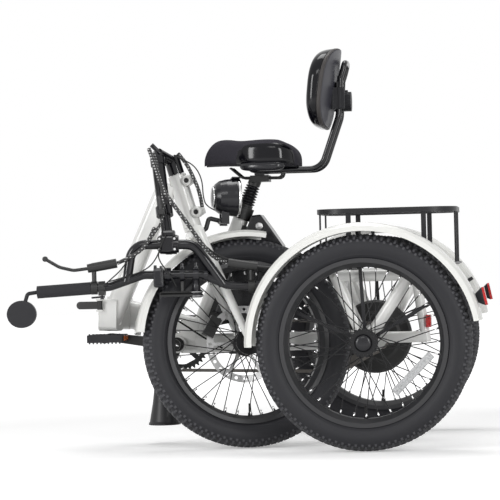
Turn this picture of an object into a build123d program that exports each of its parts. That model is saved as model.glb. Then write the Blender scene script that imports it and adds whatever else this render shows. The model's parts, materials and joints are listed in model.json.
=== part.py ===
"""Folding three-wheeled adult cycle with an electric assist, in its folded state. Millimetres.

Frame while it is built: X runs back along the cycle, so the rider faces -X when it is unfolded, Y runs to the
rider's right and Z up, with X = 0 on the rear axle, Y = 0 on the centre plane and Z = 0 on the ground.
The front half is drawn in its own frame, whose X runs from the fold pin to the front wheel, then set beside the
rear half by FRONT, and what turns with the fork is drawn straight ahead, then turned by STEER.
At the end everything moves by the same step, so that the origin is at the bottom centre of the whole.
"""
from build123d import *
import math
import os

# ---- wheels -------------------------------------------------------------------------------------------------
TYRE_R = 272.5          # outer radius of a 20 x 3.0 tyre
TYRE_HALF = 38.0        # half the tyre's width
RIM_R = 212.0           # outer edge of the rim's flange
RIM_BED_R = 204.0       # bed that the tyre's bead sits on
RIM_IN_R = 190.0        # inner face that the spokes pass through
RIM_HALF = 31.0         # half the rim's width
FLANGE_R = 33.0         # hub flange
SPOKE_R = 1.3
SPOKES_PER_SIDE = 18
SPOKE_LEAD = 54.0       # degrees that a spoke leads or trails its hole in the rim
TRACK_HALF = 327.0      # centre plane to a rear wheel's centre
AXLE_Z = TYRE_R
AXLE_R = 8.5
FIT = 0.05              # radial clearance of every running fit
MOTOR_MID = 87.0        # where the two half axles meet, inside the motor
MOTOR_R = 98.0

# ---- rear half ----------------------------------------------------------------------------------------------
HINGE_X = -701.0        # joint face of the frame's fold
PIN_Y = -56.0           # fold pin, beside the main tube
FOLD_SKEW = 8.0         # degrees that the folded front half stands away from the rear one
CRANK_X, CRANK_Z = -522.0, 266.0
CRANK_LENGTH = 170.0
CRANK_TURN = 8.0        # degrees that the left arm points above straight ahead
SEAT_TOP = (-340.5, 0.0, 612.0)      # top of the seat tube
SEAT_TILT = 22.3                     # degrees from upright, leaning back
SEAT_TUBE_R = 21.0
SEAT_POST_R = 15.0
BEARING_Y = 255.0       # bearing housings of the rear axle
CROSS_Z = 440.0         # upper tubes of the axle carriage
CROSS_FRONT_X, CROSS_REAR_X = -75.0, 116.0
CARRIAGE_R = 15.0

# ---- front half, in its own frame ---------------------------------------------------------------------------
HEAD_TOP = (217.0, PIN_Y, 711.0)     # top of the head tube, on the steering axis
HEAD_TILT = 16.2
HEAD_LENGTH = 140.0
FORK_RAKE = 48.0
STEER_TURN = 25.0       # degrees that the fork stands turned while the cycle is folded


ON_BASE = (Align.CENTER, Align.CENTER, Align.MIN)


def vec(*p):
    """One vector from three numbers or a tuple."""
    return Vector(*p)


def rod(a, b, radius):
    """Round bar from a to b."""
    start = vec(a)
    run = vec(b) - start
    return Plane(origin=start, z_dir=run) * Cylinder(radius, run.length, align=ON_BASE)


def beam(a, b, width, height, corner):
    """Rounded rectangular bar from a to b in an XZ plane, width across it."""
    start = vec(a)
    run = vec(b) - start
    section = Plane(origin=start, x_dir=(0, 1, 0), z_dir=run) * RectangleRounded(width, height, corner)
    return extrude(section, run.length)


def bent(points, radius, bend):
    """Round bar along straight runs joined by arcs; bend is one radius, or one for each corner."""
    path = FilletPolyline(*points, radius=bend)
    return sweep(Plane(origin=path @ 0, z_dir=path % 0) * Circle(radius), path=path)


def turned(profile):
    """Solid of revolution about Y from a closed outline of (radius, y) points."""
    return revolve(make_face(Polyline(*profile, close=True)), axis=Axis.Y)


def plate(outline, y0, y1):
    """Plate cut to an outline of (x, z) points, from y0 to y1."""
    face = make_face(Polyline(*[(x, y0, z) for x, z in outline], close=True))
    return extrude(face, y1 - y0, dir=(0, 1, 0))


def across(x, z, y0, y1, radius):
    """Round bar along Y."""
    return rod((x, y0, z), (x, y1, z), radius)


def polar(angle, radius):
    """X and Z of a point at an angle in degrees from +X towards +Z."""
    return radius * math.cos(math.radians(angle)), radius * math.sin(math.radians(angle))


def seat_point(along, behind=0.0, y=0.0):
    """Point measured up the seat tube's axis from its top, and square to it towards the back."""
    s, c = math.sin(math.radians(SEAT_TILT)), math.cos(math.radians(SEAT_TILT))
    return (SEAT_TOP[0] + s * along + c * behind, y, SEAT_TOP[2] + c * along - s * behind)


def head_point(down, ahead=0.0, side=0.0):
    """Point measured down the steering axis from the head tube's top, ahead of it and to the side."""
    s, c = math.sin(math.radians(HEAD_TILT)), math.cos(math.radians(HEAD_TILT))
    return (HEAD_TOP[0] + s * down + c * ahead, HEAD_TOP[1] + side, HEAD_TOP[2] - c * down + s * ahead)


FRONT = Location((HINGE_X, PIN_Y, 0), (0, 0, -FOLD_SKEW))
_head_up = vec(head_point(-1)) - vec(head_point(0))
STEER_AXIS = Axis(vec(head_point(0)), _head_up)
FORK_DOWN = (HEAD_TOP[2] + FORK_RAKE * math.sin(math.radians(HEAD_TILT)) - AXLE_Z) / math.cos(math.radians(HEAD_TILT))
FRONT_AXLE = head_point(FORK_DOWN, FORK_RAKE)


def front(shape):
    """The piece of the front half, set beside the rear half."""
    return FRONT * shape


def steered(shape):
    """The piece that turns with the fork, in its folded place."""
    return FRONT * shape.rotate(STEER_AXIS, STEER_TURN)


# ---- wheels -------------------------------------------------------------------------------------------------

def tyre():
    """Hollow tyre casing, open towards the rim, with its tread's crown and shoulders."""
    outer = [(RIM_BED_R, 28), (RIM_R + 0.5, 28), (225, 35.2), (239, TYRE_HALF), (250, 36.6), (260, 31.5), (268.5, 22),
             (TYRE_R - 1, 11), (TYRE_R, 0)]
    inner = [(265, 0), (264, 9), (261, 18), (251, 31), (239, TYRE_HALF - 3.5), (225, 31), (RIM_R, 23), (RIM_BED_R, 23)]
    far_outer = [(r, -y) for r, y in outer[-2::-1]]
    far_inner = [(r, -y) for r, y in inner[::-1]]
    return turned(outer + far_outer + far_inner + inner[1:])


def rim():
    """Double-wall rim with hooked flanges and a narrower spoke bed."""
    half = [(RIM_IN_R, 13), (RIM_BED_R - 3, RIM_HALF), (RIM_R, RIM_HALF), (RIM_R, RIM_HALF - 3), (RIM_BED_R, RIM_HALF - 3)]
    other = [(r, -y) for r, y in reversed(half)]
    return turned(half + other)


def spokes(side_gap):
    """Crossed spokes from two hub flanges, side_gap from the centre plane, into the rim."""
    found = []
    for side in (1, -1):
        for n in range(SPOKES_PER_SIDE):
            lead = SPOKE_LEAD if n % 2 else -SPOKE_LEAD
            step = 2.0 if n % 2 else -2.0
            turn = 360.0 * (n + (0.0 if side > 0 else 0.5)) / SPOKES_PER_SIDE
            hub_x, hub_z = polar(turn + lead, FLANGE_R - 5)
            rim_x, rim_z = polar(turn, RIM_IN_R + 1.5)
            found.append(rod((hub_x, side * (side_gap + step), hub_z), (rim_x, side * (5 + step), rim_z), SPOKE_R))
    return found


def wheel_hub(barrel_r, flange_y, end_lo, end_hi, cap_r):
    """Hub with two spoke flanges, its spokes and its end caps."""
    body = [(0, end_lo), (cap_r, end_lo), (cap_r, -flange_y - 5), (FLANGE_R, -flange_y - 5), (FLANGE_R, -flange_y + 5),
            (barrel_r, -flange_y + 8), (barrel_r, flange_y - 8), (FLANGE_R, flange_y - 5), (FLANGE_R, flange_y + 5),
            (cap_r, flange_y + 5), (cap_r, end_hi), (0, end_hi)]
    return turned(body).fuse(*spokes(flange_y))


# ---- rear half ----------------------------------------------------------------------------------------------

POST = ((140, 0, AXLE_Z - 14), (CROSS_REAR_X, 0, CROSS_Z - 8))


def rear_frame():
    """Welded main tube, seat tube, crank shell and rear beam, with the rear half of the fold joint."""
    main = beam((HINGE_X + 42, 0, 350), (-470, 0, 296), 46, 74, 16)
    back = beam((-515, 0, CRANK_Z), (-16, 0, CRANK_Z + 4), 45, 50, 12)
    shell = across(CRANK_X, CRANK_Z, -35, 35, 23)
    seat = rod(seat_point(-375), seat_point(0), SEAT_TUBE_R)
    block = beam((HINGE_X + 0.2, 0, 352), (HINGE_X + 50, 0, 350), 58, 84, 12)
    ear = Pos(HINGE_X, PIN_Y, 0) * Cylinder(11, 24, align=ON_BASE)
    ears = [Pos(0, 0, z) * ear for z in (312, 368)]
    arms = [Pos(HINGE_X + 13, -40, z + 12) * Box(24, 34, 24) for z in (312, 368)]
    ring = across(0, AXLE_Z, -25, 25, 36)
    tail = beam((30, 0, AXLE_Z), (140, 0, AXLE_Z), 26, 30, 9)
    post = rod(*POST, 13)
    riser = rod((-120, 0, 280), (CROSS_FRONT_X, 0, CROSS_Z - 8), 15)
    frame = main.fuse(back, shell, seat, block, *ears, *arms, ring, tail, post, riser)
    frame = frame - rod(seat_point(-200), seat_point(1), SEAT_POST_R + 0.05)
    frame = frame - across(CRANK_X, CRANK_Z, -40, 40, 15.05)
    frame = frame - across(0, AXLE_Z, -40, 40, AXLE_R + FIT)
    for x in (CROSS_FRONT_X, CROSS_REAR_X):
        frame = frame - across(x, CROSS_Z, -40, 40, CARRIAGE_R)
    pin_gap = Pos(HINGE_X, PIN_Y, 336.2) * Cylinder(12.5, 31.6, align=ON_BASE)
    return frame - pin_gap - Pos(HINGE_X, PIN_Y, 300) * Cylinder(4.05, 110, align=ON_BASE)


def axle_carriage():
    """Welded frame that carries the two axle bearings and the rack, left and right sides alike."""
    parts = []
    for x in (CROSS_FRONT_X, CROSS_REAR_X):
        parts.append(across(x, CROSS_Z, -BEARING_Y, BEARING_Y, CARRIAGE_R))
    for side in (-1, 1):
        y = side * BEARING_Y
        parts.append(rod((CROSS_FRONT_X, y, CROSS_Z), (CROSS_REAR_X, y, CROSS_Z), CARRIAGE_R))
        parts.append(rod((CROSS_FRONT_X, y, CROSS_Z), (-12, y, AXLE_Z + 20), CARRIAGE_R))
        parts.append(rod((CROSS_REAR_X, y, CROSS_Z), (14, y, AXLE_Z + 20), CARRIAGE_R))
        parts.append(across(0, AXLE_Z, y - side * 15, y + side * 25, 32))
    for x in (CROSS_FRONT_X, CROSS_REAR_X):
        parts.append(rod((x, MOTOR_MID, CROSS_Z), (x * 0.55, MOTOR_MID, AXLE_Z + 60), 9))
    whole = parts[0].fuse(*parts[1:])
    return whole - across(0, AXLE_Z, -300, 300, AXLE_R + FIT) - across(0, AXLE_Z, 72, 102, MOTOR_R)


FENDER_OUT = 302.0
FENDER_HALF = 43.0
FENDER_SHEET = 2.6


def fender(radius, half, start, span, lip=22.0):
    """Mudguard of a U section about Y, from an angle in degrees above +X over the top, by its span."""
    inner = radius - FENDER_SHEET
    low = radius - lip
    h = half
    s = FENDER_SHEET
    outline = [(low, -h), (radius - 9, -h), (radius - 2, -h + 11), (radius, -h + 24), (radius, h - 24),
               (radius - 2, h - 11), (radius - 9, h), (low, h), (low, h - s), (radius - 9 - s * 0.4, h - s),
               (inner - 2, h - 11 - s * 0.6), (inner, h - 24), (inner, -h + 24), (inner - 2, -h + 11 + s * 0.6),
               (radius - 9 - s * 0.4, -h + s), (low, -h + s)]
    ring = revolve(make_face(Polyline(*outline, close=True)), axis=Axis.Y, revolution_arc=span)
    return ring.rotate(Axis.Y, -start - span)


STAY_ANGLES = (156.0, 93.0, 30.0)
FENDER_FROM, FENDER_SPAN = 10.0, 171.0


def rear_fender(side):
    """Rear mudguard over one wheel."""
    guard = fender(FENDER_OUT, FENDER_HALF, FENDER_FROM, FENDER_SPAN)
    return Pos(0, side * TRACK_HALF, AXLE_Z) * guard


def fender_stays():
    """Three flat stays on each side, from the bearing housing to the mudguard's lip."""
    flats = []
    for side in (-1, 1):
        y = side * (TRACK_HALF - FENDER_HALF - 2)
        for angle in STAY_ANGLES:
            bar = Pos((34 + FENDER_OUT - 4) / 2 - 5, 0, 0) * Box(FENDER_OUT - 4 - 24, 4, 9)
            flats.append(Pos(0, y, AXLE_Z) * bar.rotate(Axis.Y, -angle))
    return flats


def rack():
    """Luggage rack: a rounded loop with slats, four flat legs on the carriage and thin end rods."""
    top_z, x0, x1, half = 600.0, -133.0, 232.0, 172.0
    mid = (x0 + x1) / 2
    loop = extrude(Pos(mid, 0, top_z) * (RectangleRounded(x1 - x0, 2 * half, 80)
                                         - RectangleRounded(x1 - x0 - 28, 2 * half - 28, 66)), 13)
    slats = [Pos(mid, y, top_z + 5) * Box(x1 - x0 - 20, 14, 5) for y in (-85, 0, 85)]
    legs = []
    for y in (-165, 165):
        for x in (-46, 148):
            legs.append(Pos(x, y, 452) * Box(13, 5, top_z + 2 - 452, align=ON_BASE))
        legs.append(Pos(-55, y, 448) * Box(31, 5, 14))
        legs.append(Pos(138, y, 448) * Box(33, 5, 14))
    rods = []
    for y in (-80, 80):
        rods.append(rod((x0 + 6, y, top_z + 4), (x0 + 6, y, 470), 2.5))
        rods.append(rod((x1 - 6, y, top_z + 4), (x1 - 6, y, 462), 3.2))
    cross_back = across(x1 - 6, 466, -284, 284, 3.2)
    cross_front = bent([(x0 + 6, -80, 474), (x0 + 6, -80, 452), (CROSS_FRONT_X - 14, -80, 441)], 2.5, 8)
    cross_front2 = bent([(x0 + 6, 80, 474), (x0 + 6, 80, 452), (CROSS_FRONT_X - 14, 80, 441)], 2.5, 8)
    whole = loop.fuse(*slats, *legs, *rods, cross_back, cross_front, cross_front2)
    for x in (CROSS_FRONT_X, CROSS_REAR_X):
        whole = whole - across(x, CROSS_Z, -200, 200, CARRIAGE_R)
    return whole


def tail_lights():
    """A lamp body and its red lens behind each rear mudguard."""
    bodies, lenses = [], []
    for side in (-1, 1):
        x, z = polar(20.5, FENDER_OUT)
        y = side * TRACK_HALF
        place = Pos(x - 2, y, AXLE_Z + z) * Rot(0, 90 - 12, 0)
        cone = loft([Plane.XY * Rectangle(20, 26), Pos(0, 0, 20) * Rectangle(46, 44)])
        bodies.append(place * cone - across(0, AXLE_Z, y - 60, y + 60, FENDER_OUT))
        lens = Pos(0, 0, 20) * extrude(RectangleRounded(46, 44, 5), 6)
        lenses.append(place * lens)
    lenses.append(Pos(147.5, 0, 314) * Box(13, 44, 32) - rod(*POST, 13))
    return bodies, lenses


def hub_motor():
    """Round motor with cooling ribs on its rim, beside the centre bearing, on the rear axle."""
    body = [(0, 62), (62, 62), (70, 66), (92, 66), (MOTOR_R, 72), (MOTOR_R, 102), (92, 108), (60, 108), (54, 114), (0, 114)]
    motor = turned(body)
    return Pos(0, 0, AXLE_Z) * (motor - across(0, 0, 50, 120, AXLE_R + FIT))


def rear_hub(side):
    """Spoked hub of a rear wheel, and the half axle in it, which ends in the motor."""
    hub = wheel_hub(20, 27, -38, 40, 19) if side > 0 else wheel_hub(20, 27, -40, 38, 19)
    inner = MOTOR_MID - side * -0.3
    hub = hub - across(0, 0, -60, 60, AXLE_R + FIT)
    return Pos(0, side * TRACK_HALF, 0) * hub, across(0, 0, inner, side * (TRACK_HALF + 42), AXLE_R)


def sprocket(teeth, y0, width, plate_r=None):
    """Chain wheel about Y with pointed teeth for a half-inch chain."""
    pitch_r = 12.7 / (2 * math.sin(math.pi / teeth))
    outline = []
    for n in range(teeth):
        for part, radius in ((-0.34, pitch_r - 4.2), (-0.1, pitch_r + 2.6), (0.1, pitch_r + 2.6), (0.34, pitch_r - 4.2)):
            outline.append(polar(360.0 * (n + part) / teeth, radius))
    return plate(outline, y0, y0 + width), pitch_r


RING_TEETH, COG_TEETH = 36, 18
CHAIN_Y = 48.0
RING_TURN = 5.0
COG_TURN = 0.0


def support_foot():
    """Stand under the main tube: a tube with a flared foot."""
    outline = [(0, 51), (43, 51), (43, 55), (40, 60), (31, 110), (24, 170), (20, 240), (20, 262), (0, 262)]
    foot = revolve(make_face(Polyline(*[(r, 0, z) for r, z in outline], close=True)), axis=Axis.Z)
    foot = Pos(-566, 0, 0) * foot
    stem = rod((-566, 0, 250), (-566, 0, 318), 17)
    return foot.fuse(stem) - beam((HINGE_X + 42, 0, 350), (-470, 0, 296), 46, 74, 16) - across(CRANK_X, CRANK_Z, -40, 40, 23)


def crankset():
    """Crank axle, both arms level and the chain wheel with its spider."""
    axle = across(0, 0, -66, 62, 8)
    cups = [across(0, 0, -38, -35.2, 19), across(0, 0, 35.2, 38, 19)]
    ring, pitch_r = sprocket(RING_TEETH, CHAIN_Y - 1.4, 2.8)
    ring = ring - across(0, 0, 0, 90, pitch_r - 16)
    ring = ring.rotate(Axis.Y, RING_TURN)
    spider = []
    for n in range(5):
        spider.append((Pos(pitch_r / 2 - 2, CHAIN_Y + 1.4, 0) * Box(pitch_r - 14, 4, 13)).rotate(Axis.Y, 72 * n + 36))
    boss = across(0, 0, CHAIN_Y - 4, 68, 15)
    arms = []
    for side, y0, y1 in ((-1, -78, -64), (1, 62, 76)):
        outline = make_hull([*Circle(15).edges(), *(Pos(side * CRANK_LENGTH, 0) * Circle(11)).edges()])
        arms.append(Plane((0, y1, 0), x_dir=(1, 0, 0), z_dir=(0, -1, 0)) * extrude(outline, y1 - y0))
    whole = axle.fuse(*cups, ring, *spider, boss, *arms)
    for side, y0, y1 in ((-1, -90, -50), (1, 50, 90)):
        whole = whole - across(side * CRANK_LENGTH, 0, y0, y1, 6.05)
    return Pos(CRANK_X, 0, CRANK_Z) * whole.rotate(Axis.Y, CRANK_TURN)


def pedal(side):
    """Platform pedal on its spindle, with a cage round a centre barrel."""
    y0 = side * 66
    inner, outer = side * 92, side * 182
    spindle = rod((0, y0, 0), (0, outer, 0), 6)
    barrel = rod((0, inner, 0), (0, outer, 0), 12)
    mid = (inner + outer) / 2
    cage = Pos(0, mid, 0) * (Box(92, abs(outer - inner), 20) - Box(80, abs(outer - inner) - 14, 30))
    ribs = [Pos(0, mid + dy, 0) * Box(86, 7, 16) for dy in (-14, 14)]
    whole = spindle.fuse(barrel, cage, *ribs)
    place = vec(side * CRANK_LENGTH, 0, 0).rotate(Axis.Y, CRANK_TURN)
    return Pos(CRANK_X + place.X, 0, CRANK_Z + place.Z) * whole


JOCKEY = (-95.0, 200.0, 18.0)     # x, z and pitch radius of the tensioner's wheel


def chain():
    """Chain round the chain wheel, the rear cog and the tensioner: two rows of side plates."""
    ring_r = 12.7 / (2 * math.sin(math.pi / RING_TEETH))
    cog_r = 12.7 / (2 * math.sin(math.pi / COG_TEETH))
    stops = [(CRANK_X, CRANK_Z, ring_r), (0, AXLE_Z, cog_r), JOCKEY]
    rings = []
    for grow in (4.2, -4.2):
        edges = []
        for x, z, r in stops:
            edges += (Pos(x, z) * Circle(r + grow)).edges()
        rings.append(make_hull(edges))
    band = rings[0] - rings[1]
    rows = []
    for y in (CHAIN_Y - 2.2, CHAIN_Y + 3.4):
        rows.append(Plane((0, y, 0), x_dir=(1, 0, 0), z_dir=(0, -1, 0)) * extrude(band, 1.2))
    return rows


def rear_cog():
    """Rear chain wheel on the motor's freewheel boss."""
    cog, pitch_r = sprocket(COG_TEETH, CHAIN_Y - 1.4, 2.8)
    boss = across(0, 0, CHAIN_Y - 12, CHAIN_Y + 9, 24)
    return Pos(0, 0, AXLE_Z) * (cog.fuse(boss) - across(0, 0, 0, 90, AXLE_R + 0.05))


def tensioner():
    """Arm and toothed wheel that keep the chain tight under the axle."""
    x, z, r = JOCKEY
    arm = plate([(x - 9, z + 8), (x + 3, z - 12), (12, AXLE_Z - 43), (-4, AXLE_Z - 27)], 57, 62)
    wheel = across(x, z, CHAIN_Y - 1.3, CHAIN_Y + 1.3, r - 4.6)
    return arm.fuse(wheel, across(x, z, CHAIN_Y - 4, 59, 5))


def seat_plate(outline, y0, y1):
    """Plate from points given as (along the seat tube, behind it)."""
    points = []
    for along, behind in outline:
        x, _, z = seat_point(along, behind)
        points.append((x, z))
    return plate(points, y0, y1)


def battery():
    """Battery case behind the seat tube, with a sloped top and a handle recess."""
    case = seat_plate([(3, 28), (14, 49), (-11, 88), (-42, 134), (-60, 138), (-272, 138), (-272, 28)], -40, 40)
    case = fillet(case.edges().filter_by(Axis.Y), 6)
    side = case.faces().filter_by(Axis.Y)
    case = chamfer(side.edges(), 4)
    return case


def battery_cradle():
    """Rail and foot that carry the battery on the seat tube."""
    rail = seat_plate([(-30, 12), (-30, 27.5), (-290, 27.5), (-290, 12)], -17, 17)
    foot = seat_plate([(-272.5, 20), (-272.5, 120), (-284, 120), (-290, 20)], -30, 30)
    return rail.fuse(foot) - rod(seat_point(-400), seat_point(10), SEAT_TUBE_R)


def seat_collar():
    """Clamp collar on the seat tube's top, with its pinch bolt lug in front."""
    ring = rod(seat_point(-16), seat_point(17), 25.5)
    lug = seat_plate([(-12, -22), (13, -22), (13, -40), (-12, -40)], -9, 9)
    ring = ring.fuse(lug) - rod(seat_point(-17), seat_point(0), SEAT_TUBE_R)
    ring = ring - rod(seat_point(-18), seat_point(18), SEAT_POST_R + 0.05)
    slot = seat_plate([(-17, -14), (18, -14), (18, -41), (-17, -41)], -1, 1)
    return ring - slot


def seat_post():
    """Lower post of the sprung seat pillar, bored for its slider, with a rim for the boot."""
    post = rod(seat_point(-185), seat_point(24), SEAT_POST_R)
    cap = rod(seat_point(17.3), seat_point(25), 19)
    return post.fuse(cap) - rod(seat_point(-90), seat_point(26), 11.05)


BOOT_LOW, BOOT_HIGH, BOOT_RINGS = 25.0, 78.0, 7


def seat_boot():
    """Rubber boot round the slider, in folds."""
    step = (BOOT_HIGH - BOOT_LOW) / (2 * BOOT_RINGS)
    outline = [(11.6, BOOT_LOW)]
    for n in range(2 * BOOT_RINGS + 1):
        taper = 2.5 * n / (2 * BOOT_RINGS)
        outline.append(((16.5 if n % 2 else 19.5) - taper, BOOT_LOW + n * step))
    outline.append((11.6, BOOT_HIGH))
    face = make_face(Polyline(*[(r, 0, z) for r, z in outline], close=True))
    return Plane(origin=SEAT_TOP, x_dir=(0, 1, 0), z_dir=vec(seat_point(1)) - vec(SEAT_TOP)) * revolve(face, axis=Axis.Z)


SADDLE_LOW, SADDLE_PAD_LOW, SADDLE_HIGH = 733.0, 750.0, 806.0
RAIL_Y = 22.0


def saddle_frame():
    """Slider of the sprung pillar with the rail clamp and the two bent rails."""
    slider = rod(seat_point(-70), seat_point(94), 11)
    clamp = Pos(-291, 0, 702) * Box(50, 58, 17)
    cheek = rod(seat_point(78.3), seat_point(96), 17)
    rails = []
    for y in (-RAIL_Y, RAIL_Y):
        rails.append(bent([(-369, y, 733), (-337, y, 705), (-231, y, 703), (-227, y, 733)], 3.5, [14, 12]))
    return slider.fuse(clamp, cheek, *rails) - Pos(-288, 0, SADDLE_LOW + 10) * Box(300, 80, 20)


def saddle_outline(grow):
    """Plan of the saddle: narrow nose, wide rounded back."""
    g = grow
    side = [(-437 - g, 0), (-434 - g, 22), (-413, 42 + g), (-358, 62 + g), (-298, 98 + g), (-250, 120 + g),
            (-210, 122 + g), (-185 + g, 98), (-177 + g, 50), (-176 + g, 0)]
    half = [Spline(*side, tangents=((0, 1), (0, -1))) @ (n / 20) for n in range(21)]
    points = [(p.X, p.Y) for p in half] + [(p.X, -p.Y) for p in half[-2:0:-1]]
    return make_face(Polyline(*points, close=True))


def saddle_base():
    """Moulded shell under the saddle's cushion."""
    return extrude(Pos(0, 0, SADDLE_LOW) * saddle_outline(-3), SADDLE_PAD_LOW - SADDLE_LOW)


def saddle_pad():
    """Cushion of the saddle."""
    levels = ((SADDLE_PAD_LOW, -3), (SADDLE_PAD_LOW + 14, 1), (SADDLE_HIGH - 14, -1), (SADDLE_HIGH, -14))
    return loft([Pos(0, 0, z) * saddle_outline(grow) for z, grow in levels], ruled=True)


BACK_Y = 45.0


def backrest_frame():
    """Two bent tubes from under the saddle to the backrest, with their cross plates."""
    tubes = []
    for y in (-BACK_Y, BACK_Y):
        tubes.append(bent([(-294, y, 723), (-124, y, 723), (-75, y, 860), (-68, y, 965)], 7.5, [42, 60]))
    low = Pos(-288, 0, 716.5) * Box(26, 2 * BACK_Y + 10, 12)
    high = Pos(-73, 0, 915) * Box(8, 2 * BACK_Y + 14, 70)
    return tubes[0].fuse(tubes[1], low, high) - Pos(0, 0, 900) * rod((-103, 0, 0), (-43, 0, 0), 5.05)


def backrest_pad():
    """Backrest cushion with its shell, curved round the rider's back, and its slide plate."""
    back = ThreePointArc((-135, -150), (-99, 0), (-135, 150))
    facing = ThreePointArc((-157, -138), (-133, 0), (-157, 138))
    ends = [Line((-135, -150), (-157, -138)), Line((-135, 150), (-157, 138))]
    pad = extrude(Pos(0, 0, 838) * make_face([back, facing, *ends]), 213)
    slide = Pos(-91, 0, 930) * Box(27, 60, 90)
    return pad.fuse(slide)


def backrest_knob():
    """Knob whose screw holds the backrest's height."""
    knob = rod((-68.6, 0, 900), (-43, 0, 900), 26)
    screw = rod((-77, 0, 900), (-63, 0, 900), 5)
    return knob.fuse(screw)


# ---- front half ---------------------------------------------------------------------------------------------

LUG_SIDE = 26.0


def front_frame():
    """Welded head tube and down tube, with the front half of the fold joint and its pin."""
    y = PIN_Y
    tube = beam((24, y, 334), (193, y, 690), 44, 54, 16)
    block = beam((0.2, y, 352), (50, y, 350), 58, 84, 12)
    head = rod(head_point(HEAD_LENGTH), head_point(0), 24)
    knuckle = Pos(0, 0, 336.3) * Cylinder(11, 31.4, align=ON_BASE)
    arm = Pos(13, -16, 352) * Box(24, 34, 31.4)
    pin = Pos(0, 0, 306) * Cylinder(4, 92, align=ON_BASE)
    ears = [Pos(8, y - 36, z) * Box(16, 18, 5) for z in (363, 392)]
    latch_pin = Pos(8, y - 38, 362) * Cylinder(3, 33, align=ON_BASE)
    lugs = [rod(head_point(d, 18), head_point(d, 44), 9) for d in (22, 108)]
    bosses = [rod(head_point(d, 28, -LUG_SIDE), head_point(d, 28, LUG_SIDE), 9) for d in (22, 108)]
    frame = tube.fuse(block, head, knuckle, arm, pin, *ears, latch_pin, *lugs, *bosses)
    for d in (22, 108):
        frame = frame - rod(head_point(d, 28, -LUG_SIDE - 1), head_point(d, 28, 14 - LUG_SIDE), 3)
    return frame - rod(head_point(HEAD_LENGTH + 40), head_point(-10), 15.05)


def fold_latch():
    """Lever that locks the fold joint, standing open beside its block."""
    y = PIN_Y - 38
    boss = Pos(8, y, 365.8) * Cylinder(7, 23.4, align=ON_BASE)
    arm = Pos(-20, y - 1, 377.5) * Box(52, 8, 20)
    tip = Pos(-45, y - 1, 377.5) * (Rot(90, 0, 0) * Cylinder(10, 8))
    return boss.fuse(arm, tip) - Pos(8, y, 350) * Cylinder(3.05, 60, align=ON_BASE)


LEG_SIDE = 62.0


def crown():
    """Round crown of the fork."""
    return rod(head_point(160, 0, -LEG_SIDE), head_point(160, 0, LEG_SIDE), 17)


def fork():
    """Steerer, crown and two tapered legs with their axle tips."""
    steerer = rod(head_point(160), head_point(-34), 15)
    seat = rod(head_point(HEAD_LENGTH + 1), head_point(HEAD_LENGTH + 9), 24)
    parts = [seat, crown()]
    for side in (-LEG_SIDE, LEG_SIDE):
        top, low = vec(head_point(160, 0, side)), vec(head_point(FORK_DOWN - 12, FORK_RAKE - 4, side))
        leg = Plane(origin=top, z_dir=low - top) * Cone(16, 9, (low - top).length, align=ON_BASE)
        tip = across(FRONT_AXLE[0], FRONT_AXLE[2], PIN_Y + side - 5, PIN_Y + side + 5, 15)
        parts += [leg, tip]
    for side in (-1, 1):
        y = PIN_Y + side * (LEG_SIDE + 4)
        parts.append(across(FRONT_AXLE[0], FRONT_AXLE[2], y, y + side * 10, 9))
    parts.append(across(FRONT_AXLE[0], FRONT_AXLE[2], PIN_Y - 80, PIN_Y + 80, 6))
    return steerer.fuse(*parts)


def front_fender():
    """Front mudguard under the fork's crown, with its bracket."""
    guard = fender(294, 45, 80, 95, 20)
    guard = Pos(FRONT_AXLE[0], PIN_Y, FRONT_AXLE[2]) * guard
    tab = rod(head_point(165, -12), head_point(192, -22), 5)
    return guard.fuse(tab) - crown()


def front_caliper():
    """Brake caliper behind the fork's right leg, astride the rotor."""
    x, z = polar(152, 97)
    place = Pos(FRONT_AXLE[0] + x, PIN_Y, FRONT_AXLE[2] + z) * Rot(0, -62, 0)
    body = place * (Pos(0, 45, 0) * Box(54, 26, 30))
    slot = place * (Pos(0, 43.9, -12) * Box(60, 4.4, 36))
    start = (FRONT_AXLE[0] + x * 0.9, PIN_Y + 54, FRONT_AXLE[2] + z + 8)
    bracket = rod(start, (FRONT_AXLE[0] - 24, PIN_Y + 60, FRONT_AXLE[2] + 64), 5)
    return (body - slot).fuse(bracket) - fork()


def front_rotor():
    """Slotted brake disc on six arms."""
    disc = across(0, 0, 43, 44.8, 101) - across(0, 0, 40, 50, 82)
    arms = []
    for n in range(6):
        arms.append((Pos(52, 43.9, 0) * Box(66, 1.8, 9)).rotate(Axis.Y, 60 * n))
    boss = across(0, 0, 41, 45, 26)
    holes = []
    for n in range(24):
        x, z = polar(15 * n, 91.5)
        holes.append(across(x, z, 40, 48, 4.2))
    return Pos(*FRONT_AXLE) * (disc.fuse(*arms, boss) - Compound(holes) - across(0, 0, 30, 60, 19.05))


def front_hub():
    """Front hub with its spokes and the seat of the brake disc."""
    hub = wheel_hub(17, 27, -52, 52, 19) - across(0, 0, -60, 60, 6 + FIT)
    return Pos(*FRONT_AXLE) * hub


LIGHT_DOWN, LIGHT_AHEAD = 90.0, 106.0
LIGHT_PIVOT = (146.0, 76.0)


def headlight_bracket():
    """Flat bar from the fork's crown to the headlight, with its yoke."""
    b = head_point(*LIGHT_PIVOT)
    bar = bent([head_point(160, 12), head_point(154, 33), head_point(130, 48), b], 6, [7, 7])
    pivot = across(b[0], b[2], PIN_Y - 16, PIN_Y + 16, 7)
    return bar.fuse(pivot) - crown() - across(b[0], b[2], PIN_Y - 20, PIN_Y + 20, 3.05)


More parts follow.
